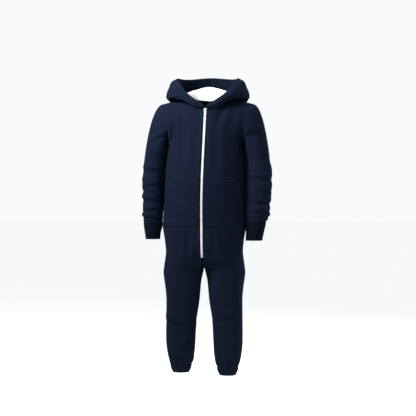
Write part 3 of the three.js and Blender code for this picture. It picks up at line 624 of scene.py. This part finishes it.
def seam_welt(distance, height=0.7):
    """A flat-felled seam: a low welt centred 4.2 mm from the join, which is sunk a little."""
    return height * (bell(distance - 4.2, 2.6) - 0.35 * bell(distance, 1.3))


def body_half(side, front):
    rows = FRONT_ROWS if front else BACK_ROWS
    places, grid, out = body_grid(rows, side, front)
    folds = FRONT_FOLDS if front else BACK_FOLDS
    lift = relief(swayed(grid), folds) * body_fade(places, front)
    lift += seam_welt(grid[..., 2] - WAIST_Z)
    if front:
        beside_zip = np.abs(grid[..., 0]) - PANEL_EDGE_X
        lift += seam_welt(beside_zip, 0.8) * smooth((NECK_ROW - places) / 0.3)[:, None]
    return grid, out, lift


def front_panel(side, name):
    grid, out, lift = body_half(side, True)
    outer, inner = map(swayed, shell(grid, out, lift))
    wall(f"front_{name}", outer, inner, FLEECE, side)
    return outer, out


def back_panel():
    """The back is one piece: both halves share the middle line up to the nape. Above it each
    half keeps its own neck edge, so the mesh is welded only where its points meet."""
    halves = []
    for side in (1, -1):
        grid, out, lift = body_half(side, False)
        lift[:, 0] = unevenness(swayed(grid), 0.5)[:, 0] * edge_fade(len(grid), 6)
        halves.append(tuple(map(swayed, shell(grid, out, lift))))
    middle = (halves[0][1][:, :1] + halves[1][1][:, :1]) / 2
    nape = NAPE_ROW * BODY_ROWS + 1
    vertices, faces, uvs = [], [], []
    for (outer, inner), side in zip(halves, (1, -1)):
        inner[:nape, :1] = middle[:nape]
        quads = grid_faces(*outer.shape[:2], False)
        quads = quads[:, ::-1] if side > 0 else quads
        first = len(np.concatenate(vertices)) if vertices else 0
        vertices += [outer.reshape(-1, 3), inner.reshape(-1, 3)]
        uv = cloth_uv(outer) * (side, 1)
        uvs += [uv, uv]
        faces.append(quads + first)
    piece = build("back_cloth", np.concatenate(vertices), np.concatenate(faces),
                  np.concatenate(uvs), FLEECE, "back")
    weld(piece)
    return halves


def weld(piece):
    """Merges points that meet, and takes out the faces that then lie back to back."""
    import bmesh
    bm = bmesh.new()
    bm.from_mesh(piece.data)
    bmesh.ops.remove_doubles(bm, verts=bm.verts, dist=0.00001)
    seen = {}
    for face in bm.faces:
        seen.setdefault(frozenset(v.index for v in face.verts), []).append(face)
    double = [face for faces in seen.values() if len(faces) > 1 for face in faces]
    bmesh.ops.delete(bm, geom=double, context="FACES")
    bm.to_mesh(piece.data)
    bm.free()


# Trousers
def leg_table(front):
    """The legs' rows in the ten columns of a panel. None stands for a column of noughts."""
    columns = [0, 1, 2, 3, None, 4, 5, 6, 7, 8]
    if not front:
        columns = [0, 9, 2, 3, None, 4, 10, 11, None, 12]
    noughts = np.zeros(len(LEG_ROWS_BOTH))
    return np.stack([noughts if c is None else LEG_ROWS_BOTH[:, c] for c in columns], -1)


def ankle_gathers(grid, side):
    """Puckers above the elastic: ripples round the leg that grow in the last 45 mm."""
    angle = np.arctan2(grid[..., 1], grid[..., 0] + SWAY - side * HEM_CENTRE_X)
    ripple = np.sin(11 * angle + 0.8 * side) + 0.6 * np.sin(17 * angle + 2.1)
    return 1.5 * ripple * smooth((-grid[..., 2] - 733) / 42)


def leg_panel(side, name, front):
    rows = leg_table(front)
    places = np.linspace(0, len(rows) - 1, (len(rows) - 1) * LEG_ROWS + 1)
    shares = np.linspace(0, 1, LEG_COLUMNS + 1)
    height = table_rows(rows, places)[:, 2]
    fly = PANEL_EDGE_X * smooth((height - FLY_CLOSED_Z) / 8) * (places < CROTCH_ROW) * front
    middle = np.where(places <= CROTCH_ROW, np.maximum(fly, SEAM), 0)
    grid = stood(swayed(panel_points(rows, places, shares, side, middle)), side)
    grid[0, :, 2] -= SEAM
    grid[-1, :, 2] += SEAM
    gap = -SEAM if front else SEAM
    grid[:, -1, 1] += gap
    below = places >= CROTCH_ROW
    grid[below, 0, 1] += gap
    out = normals(grid, -side if front else side)
    out = held(out, places <= CROTCH_ROW, 0, 0)
    out = held(out, below, 0, 1)
    out = held(out, slice(None), -1, 1)
    out = held(out, [0, -1], slice(None), 2)
    fade = edge_fade(len(places), 5)[:, None] * edge_fade(LEG_COLUMNS + 1, 4)[None, :]
    folds = LEG_FRONT_FOLDS if front else LEG_BACK_FOLDS
    lift = relief(grid, folds) * fade + ankle_gathers(grid, side) * edge_fade(LEG_COLUMNS + 1, 3)
    if front:
        beside_zip = np.abs(grid[..., 0] + SWAY) - PANEL_EDGE_X
        lift += seam_welt(beside_zip, 0.8) * smooth((grid[..., 2] + 462) / 10)
    outer, inner = shell(grid, out, lift)
    node = f"leg_{'front' if front else 'back'}_{name}"
    wall(node, outer, inner, FLEECE, -side if front else side)
    return outer, out


# Sleeves, cuffs and hems
def ellipses(rings, columns, side):
    """Level ellipses that start at the side nearest the body and go round by the front."""
    angle = 2 * np.pi * np.arange(columns) / columns
    z, x, wide, deep, y = (rings[:, i, None] for i in range(5))
    flat = np.zeros(columns)
    return np.stack([x - side * wide * np.cos(angle), y - deep * np.sin(angle), z + flat], -1)


def beside_body(around):
    """1 down the sleeve's line nearest the body, falling off within an eighth of the way round."""
    return bell((around + 0.5) % 1 - 0.5, 0.13)


def touching_body(grid, around, side):
    """How far the inner side of a sleeve or cuff goes out to rest against the body's side."""
    z = grid[..., 2]
    rows = np.concatenate([LEG_ROWS_BOTH[1:4][::-1, [4, 3]], FRONT_ROWS[:ARMPIT_ROW + 1, [5, 3]]])
    body_x = np.interp(z[:, :1], rows[:, 0], rows[:, 1])
    body = swayed(np.stack([side * body_x, z[:, :1], z[:, :1]], -1))[..., 0]
    gap = np.clip(side * (grid[:, :1, 0] - body), 0, 4)
    return (gap + 0.5) * beside_body(around) * smooth((-139 - z) / 5) * smooth((z + 392) / 28)


def sleeve(side, name):
    """Loft from the armhole's seam to the first ring by Bezier curves, then down the rings."""
    up = np.linspace(ARMPIT_ROW, SHOULDER_ROW, ARM_COLUMNS // 2 + 1)
    seams = [swayed(panel_points(rows, up, [[1.0]], side, 0.0))[:, 0]
             for rows in (FRONT_ROWS, BACK_ROWS)]
    armhole = np.concatenate([seams[0], seams[1][1:-1][::-1]])
    around = np.arange(ARM_COLUMNS) / ARM_COLUMNS
    w = (1 - np.cos(2 * np.pi * around)) / 2
    rings = SLEEVE_RINGS[side]
    end = ellipses(rings[:1], ARM_COLUMNS, side)[0]
    flat = np.zeros(ARM_COLUMNS)
    first = armhole + np.stack([side * (3 + 19 * w), flat, -8 - 3 * w - 56 * w * (1 - w)], -1)
    second = end + np.stack([side * (-1 - 7 * w), flat, 10 + 68 * w ** 1.5], -1)
    loft = bezier(np.linspace(0, 1, LOFT_ROWS + 1)[:-1, None, None], armhole, first, second, end)
    places = np.linspace(0, len(rings) - 1, ARM_ROWS + 1)
    arm = ellipses(table_rows(rings, places), ARM_COLUMNS, side)
    grid = np.concatenate([loft, arm])
    grid[0, :, 0] += side * SEAM
    grid[-1, :, 2] += SEAM
    out = normals(grid, -side, ring=True)
    out[0] = (armhole - (0, *ARMHOLE_CENTRE)) * (0, 1, 1)
    out = held(out, [-1], slice(None), 2)
    lift = sleeve_relief(grid, around, side) * edge_fade(len(grid), 5)[:, None]
    lift += touching_body(grid, around, side)
    outer, inner = shell(grid, out, lift)
    wall(f"sleeve_{name}", outer, inner, FLEECE, -side, ring=True)
    return outer, out


def sleeve_relief(grid, around, side):
    """Folds round the arm: bell-shaped troughs in height that climb as they go round, each
    with a low roll above it. The inner side has none, and rests against the body's side."""
    z = grid[..., 2]
    lift = unevenness(grid, 0.5)
    for depth, width, height, centre, spread, climb in SLEEVE_FOLDS[side]:
        turn = (around - centre + 0.5) % 1 - 0.5
        window = bell(turn, 0.55 * spread)
        wander = 1.3 * np.sin(9 * around + depth * 3)
        distance = z - (height + climb * turn / spread + wander)
        width = 1.15 * width
        roll = 0.55 * bell(distance - RIDGE_AT * width, width)
        lift -= SLEEVE_GAIN * depth * window * (bell(distance, width) - roll)
    return lift * (1 - beside_body(around) * smooth((-141 - z) / 8))


def cuff(side, name):
    """Ribbing in a tube: ribs as waves round it, and a slow swell down it."""
    rings = CUFF_RINGS[side]
    down = np.linspace(0, 1, CUFF_ROWS)
    grid = ellipses(table_rows(rings, down * (len(rings) - 1)), CUFF_COLUMNS, side)
    grid[0, :, 2] -= SEAM
    out = held(normals(grid, -side, ring=True), slice(None), slice(None), 2)
    around = np.arange(CUFF_COLUMNS) / CUFF_COLUMNS
    ribs = -0.35 * (1 - np.cos(2 * np.pi * CUFF_RIBS * around))
    swell = 0.9 * np.sin(np.pi * down) ** 2 + 0.5 * np.sin(7 * down)
    lift = (0.5 * swell * edge_fade(CUFF_ROWS, 6))[:, None] * np.cos(4 * np.pi * around) + ribs
    lift += touching_body(grid, around, side)
    outer, inner = shell(grid, out, lift)
    wall(f"cuff_{name}", outer, inner, RIB, -side, ring=True)


def hem(side, name):
    """Elastic casing: gathers of uneven depth that run straight down its whole height."""
    rings = HEM_RINGS * (1, side, 1, 1, 1)
    grid = ellipses(table_rows(rings, np.linspace(0, len(rings) - 1, HEM_ROWS)), HEM_COLUMNS, side)
    grid[0, :, 2] -= SEAM
    out = held(normals(grid, -side, ring=True), slice(None), slice(None), 2)
    around = 2 * np.pi * np.arange(HEM_COLUMNS) / HEM_COLUMNS
    gathers = (np.sin(22 * around + side) + 0.7 * np.sin(31 * around + 1.3)
               + 0.4 * np.sin(13 * around))
    lift = (0.6 * gathers[None, :] + 0.5) * edge_fade(HEM_ROWS, 5, both=False)[:, None]
    outer, inner = (stood(swayed(face), side) for face in shell(grid, out, lift))
    wall(f"hem_{name}", outer, inner, FLEECE, -side, ring=True)
    return outer, out


# Hood
def spline(values, shares):
    """A smooth curve through evenly spaced values, along the first axis."""
    place = np.asarray(shares) * (len(values) - 1)
    index = np.clip(np.floor(place).astype(int), 0, len(values) - 2)
    t = (place - index).reshape(-1, *[1] * (values.ndim - 1))
    pick = lambda i: values[np.clip(index + i, 0, len(values) - 1)]
    a, b, c, d = pick(-1), pick(0), pick(1), pick(2)
    return b + 0.5 * t * (c - a + t * (2 * a - 5 * b + 4 * c - d + t * (3 * (b - c) + d - a)))


def hood_grid(side):
    """The neck seam, moved out and up by each station's profile. The stations run on into the
    other half past the middle of the back, so that the brim is level there."""
    stations = np.linspace(0, LAST_STATION, LAST_STATION * HOOD_ROWS + 1)
    on_front = stations <= 3
    up, down = NECK_ROW + stations[on_front], SHOULDER_ROW + 3 - stations[~on_front]
    front = panel_points(FRONT_ROWS, up, [[0.0]], side, PANEL_EDGE_X)[:, 0]
    back = panel_points(BACK_ROWS, down, [[0.0]], side, SEAM)[:, 0]
    seam = swayed(np.concatenate([front, back]))
    out = unit(seam * (1, 1, 0))
    out[-1] = (0, 1, 0)
    mirrored = np.concatenate([HOOD_STATIONS, HOOD_STATIONS[LAST_STATION - 1:LAST_STATION]])
    along = spline(mirrored, stations / (LAST_STATION + 1))
    pairs = np.moveaxis(spline(np.moveaxis(along, 1, 0), np.linspace(0, 1, HOOD_COLUMNS + 1)), 0, 1)
    grid = seam[:, None, :] + out[:, None, :] * pairs[..., :1]
    grid[..., 2] += pairs[..., 1]
    grid[:, 0, 2] += SEAM
    return stations, grid


# Depth, half width, the station and the share from seam to brim that it is centred on, its
# spread over the stations, and how far it wanders from one to the next
HOOD_FOLDS = [
    (2.2, 5, 3.0, 0.34, 0.9, 0.10), (2.0, 6, 2.3, 0.50, 0.7, -0.10), (1.8, 6, 3.9, 0.62, 0.8, 0.12),
    (2.2, 7, 4.4, 0.44, 0.7, -0.12), (1.4, 5, 1.5, 0.56, 0.6, 0.08), (1.6, 7, 3.4, 0.80, 0.8, 0.05),
]


SEAM_TO_BRIM = 150


def hood_relief(stations, grid):
    """Folds along the hood: bell-shaped troughs in the share from seam to brim, that fade
    towards both ends and wander on the way, each with a low roll beside it."""
    share = np.linspace(0, 1, HOOD_COLUMNS + 1)[None, :]
    k = stations[:, None]
    lift = unevenness(grid, 0.4)
    for depth, width, centre, at, spread, wander in HOOD_FOLDS:
        distance = (share - at - wander * (k - centre)) * SEAM_TO_BRIM
        roll = 0.45 * bell(distance - RIDGE_AT * width, width)
        lift = lift - depth * bell(k - centre, spread) * (bell(distance, width) - roll)
    fade = smooth(k / 0.8) * smooth((LAST_STATION - k) / 0.25) * smooth(share / 0.12)
    return lift * fade


def hood(side, name):
    """The hood's shell, its lining and its turned-in facing, as layers of one surface. Beside
    the zip they lie straight behind each other, clear of the raised pull. In the pointed fold
    at the back they lie close together, because it is narrower than their distances."""
    stations, grid = hood_grid(side)
    out = normals(grid, -side)
    out[:, 0] = grid[:, 0] * (1, 1, 0)
    out = held(out, [0, -1], slice(None), 0)
    straight = HOOD_ROWS // 2
    out[:straight] = out[straight] * (0, 1, 1)
    out = unit(out)
    lift = hood_relief(stations, grid)
    brim_seam = round(FACING_SHARE * HOOD_COLUMNS)
    share = np.linspace(0, 1, HOOD_COLUMNS + 1)[None, :]
    at_tip = bell(share - 0.62, 0.07) * smooth((stations[:, None] - 3.6) / 1.2)
    layer = lambda depth: grid + out * (lift - depth * (1 - 0.8 * at_tip))[..., None]
    outer = layer(0)
    wall(f"hood_{name}", outer, layer(CLOTH), FLEECE, -side)
    start, deep = layer(HOOD_DEEP), layer(HOOD_DEEP + LINING)
    wall(f"hood_lining_{name}", start[:, :brim_seam], deep[:, :brim_seam], JERSEY, -side)
    wall(f"hood_facing_{name}", start[:, brim_seam:], deep[:, brim_seam:], FLEECE, -side)
    return outer, out


# Pockets
def pocket(side, name):
    """A patch on the front: the front's own surface and folds, moved out by its thickness,
    with its slanted mouth standing a little open."""
    share = np.linspace(POCKET_INSIDE, POCKET_SIDE, POCKET_COLUMNS + 1)
    slant = np.clip((share - POCKET_MOUTH_FROM) / (POCKET_SIDE - POCKET_MOUTH_FROM), 0, 1)
    top = POCKET_TOP_ROW + (POCKET_MOUTH_ROW - POCKET_TOP_ROW) * slant
    up = np.linspace(0, 1, POCKET_ROWS + 1)
    places = POCKET_FOOT_ROW + (top[None, :] - POCKET_FOOT_ROW) * up[:, None]
    grid = np.stack([panel_points(FRONT_ROWS, places[:, c], [[part]], side, PANEL_EDGE_X)[:, 0]
                     for c, part in enumerate(share)], 1)
    out = normals(grid, side)
    across = np.broadcast_to(smooth(share * BODY_COLUMNS / 5), grid.shape[:2])
    follow = relief(swayed(grid), FRONT_FOLDS) * smooth(places * BODY_ROWS / 6) * across
    welts = seam_welt(np.abs(grid[..., 0]) - PANEL_EDGE_X, 0.8) + seam_welt(grid[..., 2] - WAIST_Z)
    mouth = np.sin(np.pi * slant)[None, :] * up[:, None] ** 2
    hem_welt = 0.5 * np.exp(-((1 - up[:, None]) * (top[None, :] * 66) - 5) ** 2 / 18)
    lift = follow + welts + 0.55 + 2.4 * mouth + hem_welt
    thick = CLOTH * (0.3 + 0.7 * smooth(up[:, None] / 0.07))
    outer = swayed(grid + out * (lift - 0.4 + thick)[..., None])
    inner = swayed(grid + out * (lift - 0.4)[..., None])
    wall(f"pocket_{name}", outer, inner, FLEECE, side)
    return outer, out


# Sewing
def sampled(grid, rows, columns):
    """Points of a grid at fractional rows and columns, by straight lines between its own."""
    r = np.clip(rows, 0, grid.shape[0] - 1.001)
    c = np.clip(columns, 0, grid.shape[1] - 1.001)
    i, j = r.astype(int), c.astype(int)
    a, b = (r - i)[:, None], (c - j)[:, None]
    low = grid[i, j] * (1 - b) + grid[i, j + 1] * b
    high = grid[i + 1, j] * (1 - b) + grid[i + 1, j + 1] * b
    return low * (1 - a) + high * a


def lengths(line):
    """Distances along a line of points, from its start to each of them."""
    return np.concatenate([[0], np.cumsum(np.linalg.norm(np.diff(line, axis=0), axis=-1))])


def at_lengths(at, length, values):
    return np.stack([np.interp(at, length, values[:, k]) for k in range(3)], -1)


def stitch_row(surface, out, rows, columns):
    """Places of stitches along a line on a surface: centre, direction and outward way."""
    line = sampled(surface, rows, columns)
    length = lengths(line)
    at = np.arange(STITCH_PITCH / 2, length[-1], STITCH_PITCH)
    ahead = at_lengths(at + 0.5, length, line) - at_lengths(at - 0.5, length, line)
    return at_lengths(at, length, line), ahead, at_lengths(at, length, sampled(out, rows, columns))


def along_row(piece, row, first, last, samples=300):
    return stitch_row(*piece, np.full(samples, row), np.linspace(first, last, samples))


def down_column(piece, column, first, last, samples=300):
    return stitch_row(*piece, np.linspace(first, last, samples), np.full(samples, column))


# One stitch: its length, thickness and pitch, and the girth of a spindle along it, which has
# six sides
STITCH_LONG, STITCH_THICK, STITCH_PITCH, SIDES = 2.5, 0.62, 3.4, 6
SPINDLE = [(-0.5, 0.25), (-0.3, 0.9), (0.3, 0.9), (0.5, 0.25)]


def stitches(name, lines):
    """Sewing thread: one spindle for each stitch, half sunk in the cloth."""
    centre, ahead, up = (np.concatenate(parts)[:, None] for parts in zip(*lines))
    ahead = unit(ahead)
    side = unit(np.cross(ahead, up))
    up = np.cross(side, ahead)
    angle = (np.arange(SIDES) * 2 * np.pi / SIDES)[None, :, None]
    round_it = side * np.cos(angle) + up * np.sin(angle)
    rings = [centre + ahead * STITCH_LONG * along + up * 0.12 + girth * STITCH_THICK / 2 * round_it
             for along, girth in SPINDLE]
    vertices = np.stack(rings, 1).reshape(-1, 3)
    j = np.arange(SIDES)
    after = (j + 1) % SIDES
    tube = [np.stack([j, after, SIDES + after, SIDES + j], -1) + SIDES * k
            for k in range(len(SPINDLE) - 1)]
    top = SIDES * (len(SPINDLE) - 1)
    caps = [np.array([[0, 5, 4, 3], [0, 3, 2, 1]]), top + np.array([[0, 1, 2, 3], [0, 3, 4, 5]])]
    one = np.concatenate(tube + caps)
    start = SIDES * len(SPINDLE) * np.arange(len(centre))
    faces = (one[None] + start[:, None, None]).reshape(-1, 4)
    build(name, vertices, faces, np.zeros((len(vertices), 2)), THREAD)


# The zip
def zip_line(step):
    """Points down the middle of the front every step millimetres, with their outward way."""
    body = table_rows(FRONT_ROWS, np.linspace(NECK_ROW - 0.12, 0, 300))[:, 1:3]
    leg = table_rows(leg_table(True), np.linspace(0.01, CROTCH_ROW, 200))[:, 1:3]
    line = np.concatenate([body, leg])
    line = line[line[:, 1] > ZIP_END_Z]
    points = swayed(np.stack([np.zeros(len(line)), line[:, 0], line[:, 1]], -1))
    length = lengths(points)
    centre = at_lengths(np.arange(0, length[-1], step), length, points)
    down = unit(np.gradient(centre, axis=0))
    out = unit(np.cross(np.array([1.0, 0, 0]), down))
    return centre, down, out * np.sign(-out[:, 1:2])


# A tooth's pitch down one side, and how far its front and back are from the cloth's face
TOOTH_PITCH, TOOTH_DEPTHS = 1.7, (0.25, -1.4)


def zip_teeth():
    """Moulded teeth 1.7 mm apart: a head past the middle, a narrow neck and a foot on the
    tape, turned about by side so that they mesh."""
    outline = np.array([[-0.7, -0.55], [0.5, -0.4], [2.7, -0.62],
                        [2.7, 0.62], [0.5, 0.4], [-0.7, 0.55]])
    centre, down, out = zip_line(TOOTH_PITCH / 2)
    vertices, faces = [], []
    for side in (1, -1):
        start = 0 if side > 0 else 1
        c, d, n = centre[start::2], down[start::2], out[start::2]
        across = np.cross(d, n) * side
        base = c[:, None] + across[:, None] * outline[:, :1] + d[:, None] * outline[:, 1:]
        for depth in TOOTH_DEPTHS:
            vertices.append((base + n[:, None] * depth).reshape(-1, 3))
        first = sum(len(v) for v in vertices[:-2])
        half = len(vertices[-1])
        j = np.arange(6)
        sides = np.stack([j, (j + 1) % 6, (j + 1) % 6 + half, j + half], -1)
        caps = np.array([[0, 3, 2, 1], [0, 5, 4, 3]])
        one = np.concatenate([sides, caps, caps[:, ::-1] + half])
        many = (one[None] + 6 * np.arange(len(c))[:, None, None]).reshape(-1, 4) + first
        faces.append(many if side > 0 else many[:, ::-1])
    vertices = np.concatenate(vertices)
    piece = build("zip_teeth", vertices, np.concatenate(faces), np.zeros((len(vertices), 2)),
                  TEETH, "zip_chain")
    piece.data.polygons.foreach_set("use_smooth", np.zeros(len(piece.data.polygons), dtype=bool))


def zip_tape(side, name):
    """Woven tape behind the teeth and under the front edge, with a corded inner edge."""
    centre, down, out = zip_line(3.0)
    xs = np.array([0.2, 1.2, 2.4, 4.3, 8.0, 14.0])
    fall = 0.11 * np.maximum(0, xs - PANEL_EDGE_X)
    cord = np.where(xs < 2, 0.5, 0)
    across = np.stack([side * xs, fall, 0 * xs], -1)[None]
    depth = (1.7 + (xs > 3) * 0.95 - cord)[None, :, None]
    outer = centre[:, None] + across - out[:, None] * depth
    inner = centre[:, None] + across - out[:, None] * (depth + 0.8)
    wall(f"zip_tape_{name}", outer, inner, TAPE, -side, made="weave")


# Lay out the pieces
front, legs, pockets, hoods, sleeves, hems = {}, {}, {}, {}, {}, {}
backs = back_panel()
for side, name in ((1, "left"), (-1, "right")):
    front[side] = front_panel(side, name)
    legs[side] = leg_panel(side, name, True)
    leg_panel(side, name, False)
    sleeves[side] = sleeve(side, name)
    cuff(side, name)
    hems[side] = hem(side, name)
    hoods[side] = hood(side, name)
    pockets[side] = pocket(side, name)
    zip_tape(side, name)
zip_teeth()


def sewing():
    """Topstitching: beside the zip, in two rows along the pocket, round the hems and hood."""
    body, trouser, patch = [], [], []
    fly_top, to_side = (NECK_ROW - 0.15) * BODY_ROWS, BODY_COLUMNS - 1
    for side, (back, _) in zip((1, -1), backs):
        body += [down_column(front[side], column, 0, fly_top, 400) for column in (2.6, 4.4)]
        body.append(along_row(front[side], 1.15, 5, to_side))
        trouser.append(down_column(legs[side], 2.1, 0, 3 * LEG_ROWS))
        trouser.append(along_row(legs[side], 2.0, 4, LEG_COLUMNS - 1))
        patch += [along_row(pockets[side], row, 1, POCKET_COLUMNS * 0.985) for row in (58.6, 56.0)]
        trouser += [along_row(hems[side], row, 0, HEM_COLUMNS - 1, 400) for row in (2.5, 17)]
        brim_seam = FACING_SHARE * HOOD_COLUMNS
        body.append(down_column(hoods[side], brim_seam, 8, LAST_STATION * HOOD_ROWS - 1, 400))
        body.append(along_row(sleeves[side], 1.6, 0, ARM_COLUMNS - 1, 400))
        body.append(along_row((back, normals(back, -side)), 1.15, 0.5, to_side))
    stitches("topstitch_body", body)
    stitches("topstitch_legs", trouser)
    stitches("topstitch_pockets", patch)


sewing()

# Hard parts that keep their solids
for name, material in (("zip_slider", ENAMEL), ("zip_pull", ENAMEL), ("zip_bottom_stop", STEEL)):
    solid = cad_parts[name]
    solid.data.materials.clear()
    solid.data.materials.append(material)


# Stage, light and camera
def stage():
    """A pale paper floor that runs out to the horizon."""
    reach = 60.0
    corners = [(-reach, -reach), (reach, -reach), (reach, reach), (-reach, reach)]
    mesh = bpy.data.meshes.new("floor_paper")
    mesh.from_pydata([(x, y, FLOOR_Z * MM) for x, y in corners], [], [(0, 1, 2, 3)])
    material = bpy.data.materials.new("floor_paper")
    material.use_nodes = True
    shader = material.node_tree.nodes["Principled BSDF"]
    shader.inputs["Base Color"].default_value = linear("#fdfdfc")
    shader.inputs["Roughness"].default_value = 0.9
    mesh.materials.append(material)
    floor = bpy.data.objects.new("floor_paper", mesh)
    bpy.context.scene.collection.objects.link(floor)


def area_light(name, place, target, size, power, spread=180):
    light = bpy.data.lights.new(name, "AREA")
    light.shape = "RECTANGLE"
    light.size, light.size_y = size
    light.energy = power
    light.spread = math.radians(spread)
    lamp = bpy.data.objects.new(name, light)
    bpy.context.scene.collection.objects.link(lamp)
    lamp.location = place
    lamp.rotation_euler = look(place, target)
    lamp.visible_camera = False


def look(place, target):
    """Rotation of a lamp or camera at a place that looks at a target, upright."""
    import mathutils
    return (mathutils.Vector(target) - mathutils.Vector(place)).to_track_quat("-Z", "Y").to_euler()


TARGET = (0.0015, 0.0, -0.319)
CAMERA_DISTANCE = 4.5
CAMERA_AZIMUTH = math.radians(5.5)
PICTURE_WIDTH = 416 * 2.9 * MM
SENSOR = 36.0


def camera():
    """The photograph's view: level, a little to the wearer's left, 2.9 mm to a pixel."""
    data = bpy.data.cameras.new("camera")
    data.sensor_width = SENSOR
    data.lens = SENSOR * CAMERA_DISTANCE / PICTURE_WIDTH
    eye = bpy.data.objects.new("camera", data)
    bpy.context.scene.collection.objects.link(eye)
    offset = np.array([math.sin(CAMERA_AZIMUTH), -math.cos(CAMERA_AZIMUTH), 0]) * CAMERA_DISTANCE
    eye.location = np.array(TARGET) + offset
    eye.rotation_euler = look(tuple(eye.location), TARGET)
    bpy.context.scene.camera = eye


stage()
camera()
area_light("key", (-1.1, -0.9, 1.0), (0.0, 0.0, 0.05), (0.45, 0.45), 14, spread=62)
area_light("fill", (2.4, -2.4, 0.5), (0.0, 0.0, -0.3), (2.0, 2.0), 3)
area_light("back", (1.5, 1.3, 1.0), (0.0, 0.0, -0.1), (0.6, 0.6), 75)
world = bpy.data.worlds.new("studio")
world.use_nodes = True
world.node_tree.nodes["Background"].inputs["Color"].default_value = linear("#fcfdff")
world.node_tree.nodes["Background"].inputs["Strength"].default_value = 0.97
bpy.context.scene.world = world
bpy.context.scene.view_settings.view_transform = "Standard"
